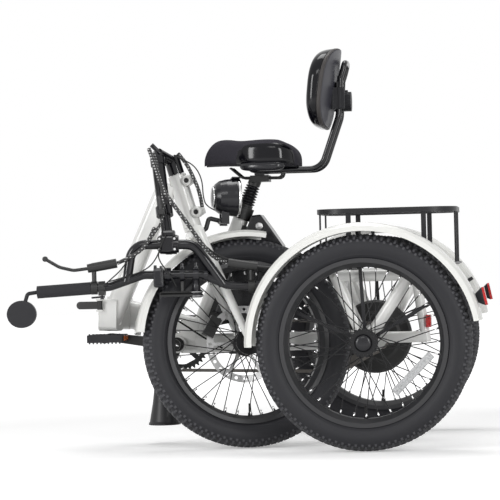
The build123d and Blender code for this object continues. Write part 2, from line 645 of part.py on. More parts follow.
def headlight_housing():
    """Round lamp body with a visor and the pin that it tilts on."""
    x, _, z = head_point(LIGHT_DOWN, LIGHT_AHEAD)
    outline = [(0, -32), (27, -32), (35, -28), (43, -17), (47.5, 0), (49, 18), (50, 26), (50, 31), (0, 31)]
    bowl = revolve(make_face(Polyline(*[(r, h, 0) for r, h in outline], close=True)), axis=Axis.Y)
    bowl = Pos(x, PIN_Y, z) * Rot(0, 0, -90) * bowl
    visor = Pos(x + 26, PIN_Y, z + 49.5) * Box(24, 60, 3)
    px, _, pz = head_point(*LIGHT_PIVOT)
    fork_arm = [Pos((px + x) / 2 + 3, PIN_Y + s, (pz + z - 30) / 2) * Box(20, 5, z - pz - 10) for s in (-19.5, 19.5)]
    pin = across(px, pz, PIN_Y - 21, PIN_Y + 21, 3)
    return bowl.fuse(visor, *fork_arm, pin)


def headlight_lens():
    """Clear front of the headlight."""
    x, _, z = head_point(LIGHT_DOWN, LIGHT_AHEAD)
    return rod((x + 31.3, PIN_Y, z), (x + 36, PIN_Y, z), 47)


# ---- stem and bars, in the place where they are folded ------------------------------------------------------
STEM_HINGE = (-535.0, -195.0, 752.0)
BAR_CLAMP = (-499.0, -275.0, 532.0)
STEM_DOWN = (vec(BAR_CLAMP) - vec(STEM_HINGE)).normalized()
BAR_X = -491.0          # middle of the bar
BAR_HALF = 347.0
BAR_SKEW = 0.106        # how far the bar swings away from the centre plane along its length
BAR_R = 11.0


def bar_point(x, z, out=0.0):
    """Point in the bar's own upright plane; out is measured away from the cycle."""
    return (x, -272.0 + (x - BAR_X) * BAR_SKEW - out, z)


def stem_point(down, out=0.0):
    """Point down the folded stem from its hinge."""
    p = vec(STEM_HINGE) + STEM_DOWN * down
    return (p.X, p.Y - out, p.Z)


def stem_base():
    """Cap on the steerer with the fixed half of the stem's hinge and its catch."""
    ring = FRONT * rod(head_point(-3), head_point(-52), 21)
    arm_from = (FRONT * Pos(*head_point(-38))).position
    hinge = vec(STEM_HINGE)
    arm = rod(arm_from, hinge + Vector(0, 4, 16), 15)
    catch = rod(hinge + Vector(8, 6, 14), hinge + Vector(-16, 0, 40), 6)
    whole = ring.fuse(arm, catch) - FRONT * rod(head_point(0), head_point(-34), 15)
    return whole - rod(hinge + STEM_DOWN * -4, hinge + STEM_DOWN * 60, 24)


def stem_tube():
    """Outer tube of the stem with its hinge head and clamp collar."""
    tube = rod(stem_point(-3), stem_point(150), 17)
    head = rod(stem_point(-3), stem_point(16), 20)
    collar = rod(stem_point(134), stem_point(158), 22)
    lug = rod(stem_point(146, 0), stem_point(146, 34), 8)
    whole = tube.fuse(head, collar, lug)
    bolt_way = rod(stem_point(146, 20), stem_point(146, 50), 3.05)
    return whole - rod(stem_point(30), stem_point(170), 14.05) - bolt_way


def stem_lever():
    """Quick-release lever of the stem's collar."""
    bolt = rod(stem_point(146, 22), stem_point(146, 37), 3)
    handle = rod(stem_point(146, 43), stem_point(104, 50), 4.5)
    hub = rod(stem_point(146, 34.4), stem_point(146, 48), 8)
    return bolt.fuse(handle, hub)


def stem_inner():
    """Inner tube of the stem, with the clamp that holds the bar's arch."""
    tube = rod(stem_point(40), stem_point(222), 14)
    x, y, z = bar_point(BAR_CLAMP[0], BAR_CLAMP[2])
    clamp = rod(bar_point(x - 21, z), bar_point(x + 21, z - 1), 25)
    whole = tube.fuse(clamp)
    return whole - arch_bar(0.0)


def arch_bar(grow):
    """Arched lower bar that the stem's clamp holds."""
    points = [bar_point(-608, 438), bar_point(-592, 533), bar_point(-434, 530), bar_point(-362, 424)]
    return bent(points, 12.5 + grow, [42, 42])


def handlebar():
    """Grip bar with its rise, welded across the ends of the arch."""
    lo, hi = BAR_X - BAR_HALF, BAR_X + BAR_HALF
    points = [bar_point(lo, 417), bar_point(-650, 427), bar_point(-565, 455), bar_point(-416, 452),
              bar_point(-352, 424), bar_point(hi, 406)]
    grip_bar = bent(points, BAR_R, [40, 40, 40, 40])
    return grip_bar.fuse(arch_bar(0.0))


def grips():
    """Two rubber grips with end flanges."""
    found = []
    for x0, z0, x1, z1 in ((-837, 417.1, -700, 424.3), (-280, 417.7, -145, 406.1)):
        a, b = bar_point(x0, z0), bar_point(x1, z1)
        found.append(rod(a, b, 16) - handlebar())
    return found


PERCH_Z = {-1: 424.8, 1: 418.7}     # height of the bar where each brake is clamped


def brake_perches():
    """Clamps, master cylinders and the shift pod on the bar."""
    found = []
    for side in (-1, 1):
        x = BAR_X + side * 200
        z = PERCH_Z[side]
        ring = rod(bar_point(x - 8, z), bar_point(x + 8, z), 17)
        neck = rod(bar_point(x, z + 8), bar_point(x, z + 54), 6)
        barrel = rod(bar_point(x + side * 16, z + 50), bar_point(x - side * 58, z + 62), 12)
        whole = ring.fuse(neck, barrel) - handlebar()
        slot = Pos(*bar_point(x + side * 19, z + 50)) * Box(26, 9.6, 28)
        found.append(whole - slot)
    x, y, _ = bar_point(-671, 0, 4)
    pod = rod(bar_point(-680, 425.4), bar_point(-663, 426.3), 16).fuse(Pos(x, y, 411) * Box(16, 20, 12))
    pin = Pos(x, y, 396) * Cylinder(2.5, 12, align=ON_BASE)
    found.append(pod.fuse(pin, Pos(x, y, 395) * Cylinder(5, 3.5, align=ON_BASE)) - handlebar())
    return found


def brake_lever(side):
    """Curved brake lever with a round end, on its pivot in the perch."""
    x = BAR_X + side * 200
    z = PERCH_Z[side]
    points = [bar_point(x + side * along, z + up) for along, up in ((16, 50), (52, 46), (88, 55), (124, 77))]
    end = fillet(Cylinder(7, 11).edges(), 3)
    return bent(points, 4.3, [40, 50]).fuse(Pos(*points[-1]) * Rot(90, 0, 0) * end)


def display_unit():
    """Control box and display on the middle of the bar."""
    box = Pos(*bar_point(-525, 446)) * Rot(0, 0, 6) * Box(26, 40, 50)
    plate_ = Pos(*bar_point(-480, 402, 6)) * Rot(0, 0, 6) * Box(86, 34, 9)
    stack = Pos(*bar_point(-432, 420)) * Rot(0, 0, 6) * Box(44, 36, 42)
    whole = box.fuse(plate_, stack)
    return whole - handlebar()


def shift_lever():
    """Thumb lever that turns on the shifter's pin."""
    x, y, _ = bar_point(-671, 0, 4)
    boss = Pos(x, y, 399) * Cylinder(7, 5, align=ON_BASE)
    arm = rod((x, y, 401.5), (x - 24, y - 16, 400), 2.4)
    return boss.fuse(arm) - Pos(x, y, 390) * Cylinder(2.55, 30, align=ON_BASE)


def mirror():
    """Round mirror on a bent arm at the bar's left end."""
    lo = BAR_X - BAR_HALF
    head = Pos(-876, -316, 362) * Rot(90, 0, 0) * extrude(Ellipse(38, 35), 12)
    arm = bent([bar_point(lo - 1, 417), bar_point(lo - 24, 414), (-868, -321, 389)], 5, 9)
    return head.fuse(arm)


# ---- cables -------------------------------------------------------------------------------------------------

def looms():
    """Cable looms: route, radius and corner radii of each, held at both ends."""
    main = [(-552, -228, 780), (-529, -250, 724), (-512, -264, 672), (-479, -276, 626), (-441, -290, 576),
            (-404, -298, 522), (-378, -267, 490), (-352, -257.4, 481.2)]
    side = [(-532, -292, 575), (-548, -312, 528), (-600, -308, 497), (-629.2, -286.9, 487.5)]
    lamp = [(-484, -178, 768), (-463, -180, 743), (-445, -184, 706), (-428, -184, 664), (-424, -178, 627)]
    return {"main_loom": (main, 5.5), "lever_loom": (side, 5.0), "lamp_loom": (lamp, 5.0)}


def loom(name):
    """One cable loom as a round tube."""
    route, radius = looms()[name]
    radii = []
    for a, b, c in zip(route, route[1:], route[2:]):
        u, v = vec(b) - vec(a), vec(c) - vec(b)
        half = math.radians(u.get_angle(v)) / 2
        radii.append(0.45 * min(u.length, v.length) / math.tan(half))
    return bent(route, radius, radii)


# ---- the whole ----------------------------------------------------------------------------------------------

def spin_wheel(side):
    """Pieces of one rear wheel in its place: tyre, rim and spoked hub."""
    place = Pos(0, side * TRACK_HALF, AXLE_Z)
    return [place * tyre(), place * rim(), [Pos(0, 0, AXLE_Z) * part for part in rear_hub(side)]]


def pieces():
    """Every piece by its node's name."""
    lamp_bodies, lenses = tail_lights()
    found = {
        "rear_frame": rear_frame(), "axle_carriage": axle_carriage(), "rack": rack(),
        "fender_left": rear_fender(-1), "fender_right": rear_fender(1), "fender_stays": fender_stays(),
        "tail_light_bodies": lamp_bodies, "tail_lenses": lenses, "battery_cradle": battery_cradle(),
        "battery": battery(), "hub_motor": hub_motor(), "support_foot": support_foot(),
        "chain": chain(), "chain_tensioner": tensioner(),
        "rear_cog": rear_cog(), "crankset": crankset(), "pedal_left": pedal(-1), "pedal_right": pedal(1),
        "seat_collar": seat_collar(), "seat_post": seat_post(), "seat_boot": seat_boot(),
        "saddle_frame": saddle_frame(), "saddle_base": saddle_base(), "saddle_pad": saddle_pad(),
        "backrest_frame": backrest_frame(), "backrest_pad": backrest_pad(), "backrest_knob": backrest_knob(),
        "front_frame": front(front_frame()), "fold_latch": front(fold_latch()), "fork": steered(fork()),
        "front_fender": steered(front_fender()), "front_caliper": steered(front_caliper()),
        "headlight_bracket": steered(headlight_bracket()),
        "headlight_housing": steered(headlight_housing()), "headlight_lens": steered(headlight_lens()),
        "tyre_front": steered(Pos(*FRONT_AXLE) * tyre()), "rim_front": steered(Pos(*FRONT_AXLE) * rim()),
        "hub_front": steered(front_hub()), "front_rotor": steered(front_rotor()),
        "stem_base": stem_base(), "stem_tube": stem_tube(), "stem_lever": stem_lever(),
        "stem_inner": stem_inner(), "handlebar": handlebar(), "grips": grips(), "brake_perches": brake_perches(),
        "brake_lever_left": brake_lever(-1), "brake_lever_right": brake_lever(1), "display_unit": display_unit(),
        "shift_lever": shift_lever(), "mirror": mirror(),
    }
    for side, name in ((-1, "left"), (1, "right")):
        for kind, piece in zip(("tyre", "rim", "hub"), spin_wheel(side)):
            found[kind + "_" + name] = piece
    for name in looms():
        found[name] = loom(name)
    return found


def solids_of(piece):
    """All the solids of a piece, which may be a list of them."""
    parts = piece if isinstance(piece, (list, tuple)) else [piece]
    return [s for p in parts for s in p.solids()]


def main():
    """Build every piece, move the whole to its origin and write one file each."""
    os.makedirs("parts", exist_ok=True)
    found = {name: Compound(solids_of(piece)) for name, piece in pieces().items()}
    box = Compound(list(found.values())).bounding_box()
    shift = Pos(-(box.min.X + box.max.X) / 2, -(box.min.Y + box.max.Y) / 2, -box.min.Z)
    print("shift", tuple(round(v, 4) for v in shift.position), "size", box.size)
    for name, piece in found.items():
        export_step(shift * piece, "parts/" + name + ".step")


if __name__ == "__main__":
    main()
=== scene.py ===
"""Looks of a folding three-wheeled cycle with an electric assist, in its folded state.

Metres throughout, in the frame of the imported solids: +X back along the rear half, +Y to the rider's right, +Z up.
"""
from __future__ import annotations

import json
import logging
import math
from dataclasses import dataclass, field
from enum import Enum
from typing import Sequence

import bmesh
import bpy
from mathutils import Matrix, Vector

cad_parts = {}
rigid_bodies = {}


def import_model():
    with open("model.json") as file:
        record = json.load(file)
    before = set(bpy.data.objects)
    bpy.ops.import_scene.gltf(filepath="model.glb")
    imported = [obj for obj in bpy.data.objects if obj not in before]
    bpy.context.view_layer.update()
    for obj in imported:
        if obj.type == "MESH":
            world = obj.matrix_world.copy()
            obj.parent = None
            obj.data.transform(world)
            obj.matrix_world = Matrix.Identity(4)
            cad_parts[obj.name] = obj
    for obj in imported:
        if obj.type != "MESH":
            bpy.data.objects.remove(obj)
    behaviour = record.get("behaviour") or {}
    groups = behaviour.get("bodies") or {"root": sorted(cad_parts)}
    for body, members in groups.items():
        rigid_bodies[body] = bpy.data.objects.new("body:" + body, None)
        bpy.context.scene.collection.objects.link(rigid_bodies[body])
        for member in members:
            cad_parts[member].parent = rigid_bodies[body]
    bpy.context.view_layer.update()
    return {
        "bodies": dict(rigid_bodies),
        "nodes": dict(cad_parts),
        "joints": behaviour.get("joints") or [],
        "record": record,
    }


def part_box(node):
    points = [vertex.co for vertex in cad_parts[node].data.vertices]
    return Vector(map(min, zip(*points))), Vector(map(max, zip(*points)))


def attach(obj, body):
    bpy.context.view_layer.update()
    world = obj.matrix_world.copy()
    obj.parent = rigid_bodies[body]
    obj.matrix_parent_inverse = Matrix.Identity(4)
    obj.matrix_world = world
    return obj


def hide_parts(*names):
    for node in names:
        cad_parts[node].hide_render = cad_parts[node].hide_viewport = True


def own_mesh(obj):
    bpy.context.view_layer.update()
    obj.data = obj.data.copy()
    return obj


LOG = logging.getLogger("cycle")
Point = tuple[float, float, float]
Number = float | int


# ---- shader maths -------------------------------------------------------------------------------------------

class Signal:
    """A value in a node tree: one output socket, with the operators that the finishes use."""

    def __init__(self, shader: Nodes, socket: bpy.types.NodeSocket) -> None:
        """Keep the socket and the tree that it belongs to."""
        self.shader = shader
        self.socket = socket

    def _join(self, operation: str, first: Signal | Number, second: Signal | Number) -> Signal:
        """Add one Math node.

        Args:
            operation: the Math node's operation.
            first: its first input.
            second: its second input.

        Returns:
            The node's output.
        """
        return self.shader.node("ShaderNodeMath", {"operation": operation}, {0: first, 1: second})

    def __add__(self, other: Signal | Number) -> Signal:
        """Sum."""
        return self._join("ADD", self, other)

    def __radd__(self, other: Number) -> Signal:
        """Sum, number first."""
        return self._join("ADD", other, self)

    def __sub__(self, other: Signal | Number) -> Signal:
        """Difference."""
        return self._join("SUBTRACT", self, other)

    def __rsub__(self, other: Number) -> Signal:
        """Difference, number first."""
        return self._join("SUBTRACT", other, self)

    def __mul__(self, other: Signal | Number) -> Signal:
        """Product."""
        return self._join("MULTIPLY", self, other)

    def __rmul__(self, other: Number) -> Signal:
        """Product, number first."""
        return self._join("MULTIPLY", other, self)

    def sine(self) -> Signal:
        """Sine of the value."""
        return self._join("SINE", self, 0.0)

    def clamped(self) -> Signal:
        """The value held between nought and one."""
        return self.shader.node("ShaderNodeClamp", {}, {"Value": self}, "Result")


class Nodes:
    """A node tree and the ways to add to it."""

    def __init__(self, tree: bpy.types.NodeTree) -> None:
        """Keep the tree."""
        self.tree = tree

    def node(self, kind: str, settings: dict[str, object], inputs: dict[object, object],
             output: str | int = 0) -> Signal:
        """Add one node.

        Args:
            kind: the node's type name.
            settings: its own settings, set first.
            inputs: values or signals for its sockets.
            output: the output that is wanted.

        Returns:
            That output as a signal.
        """
        made = self.tree.nodes.new(kind)
        for key, value in settings.items():
            setattr(made, key, value)
        for key, value in inputs.items():
            self.feed(made.inputs[key], value)
        return Signal(self, made.outputs[output])

    def feed(self, socket: bpy.types.NodeSocket, value: object) -> None:
        """Link a signal to a socket, or set its plain value."""
        if isinstance(value, Signal):
            self.tree.links.new(value.socket, socket)
        else:
            socket.default_value = value

    def ray(self, kind: str) -> Signal:
        """One for a kind of ray, such as Is Camera Ray, else nought."""
        return self.node("ShaderNodeLightPath", {}, {}, kind)


class Shader(Nodes):
    """One material and the nodes in it."""

    def __init__(self, name: str) -> None:
        """Start a material with one Principled shader."""
        self.material = bpy.data.materials.new(name)
        self.material.use_nodes = True
        super().__init__(self.material.node_tree)
        self.tree.nodes.clear()
        out = self.tree.nodes.new("ShaderNodeOutputMaterial")
        self.bsdf = self.tree.nodes.new("ShaderNodeBsdfPrincipled")
        self.tree.links.new(self.bsdf.outputs["BSDF"], out.inputs["Surface"])

    def set(self, **sockets: object) -> Shader:
        """Feed the Principled shader; underscores stand for the spaces of its socket names."""
        for key, value in sockets.items():
            self.feed(self.bsdf.inputs[key.replace("_", " ")], value)
        return self

    def place(self, scale: Sequence[float] = (1, 1, 1)) -> Signal:
        """Object coordinates in metres, scaled."""
        spot = self.node("ShaderNodeTexCoord", {}, {}, "Object")
        return self.node("ShaderNodeMapping", {}, {"Vector": spot, "Scale": tuple(scale)})

    def axis(self, name: str) -> Signal:
        """One object coordinate in metres."""
        spot = self.node("ShaderNodeTexCoord", {}, {}, "Object")
        return self.node("ShaderNodeSeparateXYZ", {}, {0: spot}, name)

    def noise(self, scale: float, detail: float = 3.0, stretch: Sequence[float] = (1, 1, 1)) -> Signal:
        """Soft noise from nought to one, with scale in cells a metre."""
        return self.node("ShaderNodeTexNoise", {}, {"Vector": self.place(stretch), "Scale": scale, "Detail": detail})

    def cells(self, scale: float) -> Signal:
        """Distance inside round cells."""
        return self.node("ShaderNodeTexVoronoi", {}, {"Vector": self.place(), "Scale": scale})

    def blend(self, mask: Signal | Number, low: Sequence[float], high: Sequence[float]) -> Signal:
        """Colour from low to high by a mask."""
        ends = {0: mask, 6: (*low, 1.0), 7: (*high, 1.0)}
        return self.node("ShaderNodeMix", {"data_type": "RGBA"}, ends, 2)

    def bump(self, height: Signal, depth: float) -> Shader:
        """Bump the whole surface by a height, depth in metres."""
        normal = self.node("ShaderNodeBump", {}, {"Height": height, "Distance": depth, "Strength": 1.0})
        return self.set(Normal=normal)


# ---- places on the folded cycle -----------------------------------------------------------------------------

ORIGIN = 0.3014556      # step from the rear axle to the origin, along X
PIN_Y = -0.056          # fold pin beside the centre plane
FOLD_SKEW = 8.0         # degrees that the front half stands away from the rear one
HEAD_TILT = 16.2        # degrees that the steering axis leans back
STEER_TURN = 25.0       # degrees that the fork stands turned
FOLD_X = -701           # millimetres from the rear axle to the fold pin
SEAT_TILT = 22.3        # degrees that the seat pillar leans back


def rotation(degrees: float, axis: str | Vector, size: int = 4) -> Matrix:
    """A turn round an axis."""
    return Matrix.Rotation(math.radians(degrees), size, axis)


def circle(count: int) -> list[float]:
    """Equal steps round one turn, in radians."""
    return [2 * math.pi * n / count for n in range(count)]


def spot(x: float, y: float, z: float) -> Point:
    """A point given in millimetres from the rear axle's middle on the ground."""
    return (x / 1000 + ORIGIN, y / 1000, z / 1000)


def front_frame() -> Matrix:
    """Place of the front half's own frame, whose X runs from the fold pin to the front wheel."""
    return Matrix.Translation(spot(FOLD_X, PIN_Y * 1000, 0)) @ rotation(-FOLD_SKEW, "Z")


def head_point(down: float, ahead: float = 0.0, side: float = 0.0) -> Vector:
    """A point beside the steering axis, in the front half's frame, from millimetres down and ahead of it."""
    s, c = math.sin(math.radians(HEAD_TILT)), math.cos(math.radians(HEAD_TILT))
    return Vector((217 + s * down + c * ahead, PIN_Y * 1000 + side, 711 - c * down + s * ahead)) / 1000


def steered_frame() -> Matrix:
    """Place of what turns with the fork, in the front half's frame when it points straight ahead."""
    top, up = head_point(0), (head_point(-1) - head_point(0)).normalized()
    turn = rotation(STEER_TURN, up)
    return front_frame() @ Matrix.Translation(top) @ turn @ Matrix.Translation(-top)


def grey(level: float) -> tuple[float, float, float]:
    """A neutral colour."""
    return (level, level, level)


# ---- finishes -----------------------------------------------------------------------------------------------

class Sheen(Enum):
    """How shiny a finish is: the base roughness."""
    MIRROR = 0.12
    GLOSS = 0.22
    SATIN = 0.38
    EGGSHELL = 0.5
    MATT = 0.68
    DRY = 0.82


@dataclass(frozen=True)
class Look:
    """A finish's name and main colour."""
    name: str
    colour: Point

    def tint(self, share: float) -> Point:
        """The main colour, darker or lighter by a share."""
        return tuple(c * share for c in self.colour)


@dataclass(frozen=True)
class Paint(Look):
    """Sprayed or powder-coated paint with a fine orange peel, dust in its tone and a clear coat."""
    sheen: Sheen
    coat: float = 0.3
    peel: float = 0.00006
    lustre: float = 0.5

    def make(self) -> bpy.types.Material:
        """Build the material."""
        shader = Shader(self.name)
        broad = shader.noise(9.0, 2.0)
        fine = shader.noise(420.0, 2.0)
        shader.set(Base_Color=shader.blend(broad, self.tint(0.94), self.colour), Coat_Weight=self.coat,
                   Roughness=self.sheen.value + 0.1 * (broad - 0.5) + 0.04 * fine, Coat_Roughness=0.12,
                   Specular_IOR_Level=self.lustre)
        return shader.bump(fine, self.peel).material


@dataclass(frozen=True)
class Metal(Look):
    """Bare or anodised metal with a drawn grain and rubbed spots."""
    sheen: Sheen
    grain: Sequence[float] = (1.0, 1.0, 14.0)
    metallic: float = 1.0

    def make(self) -> bpy.types.Material:
        """Build the material."""
        shader = Shader(self.name)
        grain = shader.noise(160.0, 4.0, self.grain)
        broad = shader.noise(14.0, 2.0)
        shader.set(Base_Color=shader.blend(broad, self.tint(0.8), self.colour), Metallic=self.metallic,
                   Roughness=self.sheen.value + 0.14 * (grain - 0.5) + 0.06 * broad)
        return shader.bump(grain, 0.00004).material


@dataclass(frozen=True)
class Moulding(Look):
    """Moulded plastic or rubber with a stippled skin."""
    sheen: Sheen
    stipple: float = 900.0
    depth: float = 0.00008
    lustre: float = 0.28

    def make(self) -> bpy.types.Material:
        """Build the material."""
        shader = Shader(self.name)
        broad = shader.noise(18.0, 3.0)
        fine = shader.cells(self.stipple)
        shader.set(Base_Color=shader.blend(broad, self.tint(0.7), self.colour),
                   Roughness=self.sheen.value + 0.1 * (broad - 0.5), Specular_IOR_Level=self.lustre)
        return shader.bump(fine, self.depth).material


@dataclass(frozen=True)
class Leather(Look):
    """Upholstery skin with a pebbled grain and softer creases, darkened by painted shade in the grain's low pits."""
    sheen: Sheen
    pebble: float = 420.0
    lustre: float = 0.10

    def make(self) -> bpy.types.Material:
        """Build the material."""
        shader = Shader(self.name)
        broad = shader.noise(11.0, 3.0)
        cells = shader.cells(self.pebble)
        fine = shader.noise(900.0, 2.0)
        # Painted shade and light: darker in the grain's low pits, lighter on its raised ridges, following the bump.
        shader.set(Base_Color=shader.blend(cells, self.colour, self.tint(1.5)), Specular_IOR_Level=self.lustre,
                   Roughness=self.sheen.value + 0.16 * (broad - 0.5) + 0.08 * cells)
        return shader.bump(cells * 0.8 + fine * 0.3, 0.00025).material


@dataclass(frozen=True)
class Lens(Look):
    """Moulded lens: clear or coloured, with prisms behind its skin."""
    clear: float
    prism: float = 260.0

    def make(self) -> bpy.types.Material:
        """Build the material."""
        shader = Shader(self.name)
        cells = shader.cells(self.prism)
        shader.set(Base_Color=shader.blend(cells, self.colour, self.tint(0.45)), Roughness=0.08 + 0.1 * cells,
                   Transmission_Weight=self.clear, IOR=1.49)
        return shader.bump(cells, 0.0004).material


@dataclass(frozen=True)
class Braid(Look):
    """Woven sleeve of a cable loom, with light flecks that are painted glints on its strands."""

    @staticmethod
    def crossing(shader: Shader, across: Signal, up: float, over: float) -> Signal:
        """Two sets of strands that cross, from 0 in a gap to 1 where they meet.

        Args:
            shader: The material under work.
            across: Place across the sleeve, in metres.
            up: Strands along the height, in radians per metre.
            over: Strands across, in radians per metre.

        Returns:
            The height of the weave, 0 to 1.
        """
        one = (shader.axis("Z") * up + across * over).sine()
        two = (shader.axis("Z") * up - across * over).sine()
        return (one * two) * 0.5 + 0.5

    def make(self) -> bpy.types.Material:
        """Build the material."""
        shader = Shader(self.name)
        across = shader.axis("X") + shader.axis("Y")
        weave = self.crossing(shader, across, 950.0, 760.0)
        # Painted glints: light grey specks where the coarse strands cross.
        painted_glint = ((self.crossing(shader, across, 430.0, 350.0) - 0.78) * 12.0).clamped()
        high = tuple(c * 6.0 + 0.45 for c in self.colour)
        shader.set(Base_Color=shader.blend(painted_glint, self.colour, high), Roughness=0.5 + 0.2 * weave)
        return shader.bump(weave, 0.0004).material


class Finish(Enum):
    """Every finish of the cycle."""
    WHITE = Paint("white_gloss_paint", (0.80, 0.80, 0.78), Sheen.GLOSS, 0.3)
    WHITE_GUARD = Paint("white_mudguard_paint", (0.80, 0.80, 0.77), Sheen.GLOSS, 0.3)
    BLACK = Paint("black_powder_coat", (0.012, 0.012, 0.014), Sheen.SATIN, 0.0, 0.0001, 0.35)
    BLACK_GLOSS = Paint("black_gloss_paint", (0.006, 0.006, 0.008), Sheen.MIRROR, 0.0, 0.00002, 0.4)
    ALLOY = Metal("black_anodised_alloy", grey(0.035), Sheen.SATIN, (1.0, 1.0, 3.0), 0.6)
    RIM = Paint("black_rim_paint", (0.010, 0.010, 0.012), Sheen.SATIN, 0.0, 0.00003, 0.6)
    SPOKE = Paint("black_spoke_paint", (0.006, 0.006, 0.007), Sheen.SATIN, 0.0, 0.00002, 0.3)
    STEEL = Metal("bright_steel", grey(0.55), Sheen.SATIN)
    CHAIN = Metal("oiled_chain_steel", (0.16, 0.15, 0.14), Sheen.SATIN)
    MOTOR = Metal("black_motor_casing", grey(0.03), Sheen.EGGSHELL, (1.0, 6.0, 1.0), 0.5)
    PLASTIC = Moulding("black_moulded_plastic", (0.013, 0.013, 0.016), Sheen.EGGSHELL)
    PLASTIC_GLOSS = Moulding("black_gloss_plastic", (0.008, 0.008, 0.011), Sheen.GLOSS, 300.0, 0.00001, 0.4)
    PATENT = Moulding("black_patent_panel", (0.003, 0.003, 0.005), Sheen.MIRROR, 60.0, 0.000004, 0.26)
    SHELL = Moulding("satin_back_shell", (0.040, 0.040, 0.052), Sheen.SATIN, 700.0, 0.00004)
    SHELL_EDGE = Moulding("back_shell_edge", (0.055, 0.050, 0.049), Sheen.EGGSHELL, 700.0, 0.00004)
    RUBBER = Moulding("black_rubber", grey(0.014), Sheen.MATT, 1200.0, 0.0002)
    TYRE = Moulding("black_tyre_rubber", (0.0185, 0.0185, 0.022), Sheen.EGGSHELL, 1500.0, 0.00015)
    # Painted highlight: lighter rubber on the knob tops, where light from above falls on them.
    TREAD = Moulding("painted_highlight_tyre_tread", (0.075, 0.075, 0.082), Sheen.MATT, 1500.0, 0.00015)
    GRIP = Moulding("foam_grip", (0.030, 0.030, 0.034), Sheen.DRY, 520.0, 0.0005)
    SADDLE = Leather("pebbled_saddle_skin", (0.030, 0.0285, 0.0345), Sheen.DRY, 420.0, 0.07)
    RED = Lens("red_reflector", (0.75, 0.012, 0.012), 0.15)
    AMBER = Lens("amber_reflector", (0.95, 0.2, 0.01), 0.15)
    CLEAR = Lens("clear_lens", (0.92, 0.94, 0.96), 0.7)
    LOOM = Braid("braided_loom", grey(0.012))
    CORD = Moulding("black_cable_jacket", grey(0.012), Sheen.EGGSHELL, 800.0, 0.00003)
    REFLECTOR = Lens("clear_reflector", (0.88, 0.89, 0.90), 0.30, 320.0)
    CHROME = Metal("mirror_chrome", grey(0.8), Sheen.MIRROR)

    def material(self) -> bpy.types.Material:
        """The finish's material, made once."""
        found = bpy.data.materials.get(self.value.name)
        return found or self.value.make()


NODE_FINISH: dict[Finish, str] = {
    Finish.WHITE: "rear_frame axle_carriage front_frame fork",
    Finish.WHITE_GUARD: "fender_left fender_right front_fender",
    Finish.BLACK: "rack fender_stays support_foot headlight_bracket",
    Finish.BLACK_GLOSS: "backrest_frame stem_base stem_tube stem_inner handlebar",
    Finish.ALLOY: "battery_cradle crankset seat_collar seat_post saddle_frame fold_latch front_caliper stem_lever"
                  " brake_perches brake_lever_left brake_lever_right",
    Finish.RIM: "rim_left rim_right rim_front",
    Finish.SPOKE: "hub_left hub_right hub_front",
    Finish.STEEL: "front_rotor",
    Finish.CHAIN: "chain chain_tensioner rear_cog",
    Finish.MOTOR: "hub_motor",
    Finish.PLASTIC: "tail_light_bodies pedal_left pedal_right saddle_base backrest_knob display_unit shift_lever"
                    " mirror",
    Finish.PLASTIC_GLOSS: "battery headlight_housing",
    Finish.PATENT: "backrest_pad",
    Finish.SADDLE: "saddle_pad",
    Finish.RUBBER: "seat_boot",
    Finish.TYRE: "tyre_left tyre_right tyre_front",
    Finish.GRIP: "grips",
    Finish.RED: "tail_lenses",
    Finish.CLEAR: "headlight_lens",
    Finish.LOOM: "main_loom lever_loom lamp_loom",
}


def dress_nodes(frame: dict) -> None:
    """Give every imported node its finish."""
    for finish, names in NODE_FINISH.items():
        for name in names.split():
            slots = frame["nodes"][name].data.materials
            slots.clear()
            slots.append(finish.material())
            LOG.info("node %s: %s", name, finish.value.name)


# ---- mesh helpers -------------------------------------------------------------------------------------------

def put(name: str, data: bpy.types.ID) -> bpy.types.Object:
    """Place a mesh, curve, light or camera in the scene."""
    obj = bpy.data.objects.new(name, data)
    bpy.context.scene.collection.objects.link(obj)
    return obj


def grid_piece(name: str, rows: Sequence[Sequence[Point]], finish: Finish, body: str, around: bool = False,
               along: bool = False) -> bpy.types.Object:
    """Make a smooth piece from rows of points.

    Args:
        name: the piece's name.
        rows: equal rows of points in metres.
        finish: its finish.
        body: the body that it rides on.
        around: whether each row closes on itself.
        along: whether the last row joins the first.

    Returns:
        The new piece, riding on its body.
    """
    bm = bmesh.new()
    made = [[bm.verts.new(p) for p in row] for row in rows]
    count = len(rows[0])
    pairs = list(zip(made, made[1:])) + ([(made[-1], made[0])] if along else [])
    for one, two in pairs:
        for n in range(count if around else count - 1):
            m = (n + 1) % count
            bm.faces.new((one[n], one[m], two[m], two[n]))
    if around and not along:
        bm.faces.new(list(reversed(made[0])))
        bm.faces.new(made[-1])
    bmesh.ops.recalc_face_normals(bm, faces=bm.faces)
    return finish_mesh(name, bm, finish, body)


def finish_mesh(name: str, bm: bmesh.types.BMesh, finish: Finish, body: str, smooth: bool = True) -> bpy.types.Object:
    """Turn a bmesh into a dressed piece that rides on a body."""
    mesh = bpy.data.meshes.new(name)
    bm.to_mesh(mesh)
    bm.free()
    if smooth:
        for face in mesh.polygons:
            face.use_smooth = True
    obj = put(name, mesh)
    mesh.materials.append(finish.material())
    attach(obj, body)
    LOG.info("piece %s on %s", name, body)
    return obj


def add_rod(bm: bmesh.types.BMesh, start: Point, end: Point, radius: float, tip: float | None = None,
            sides: int = 10) -> None:
    """Add a round bar, or a cone to the tip's radius, to a bmesh."""
    a, b = Vector(start), Vector(end)
    turn = (b - a).to_track_quat("Z", "Y").to_matrix().to_4x4()
    place = Matrix.Translation((a + b) / 2) @ turn
    bmesh.ops.create_cone(bm, cap_ends=True, segments=sides, radius1=radius, radius2=radius if tip is None else tip,
                          depth=(b - a).length, matrix=place)


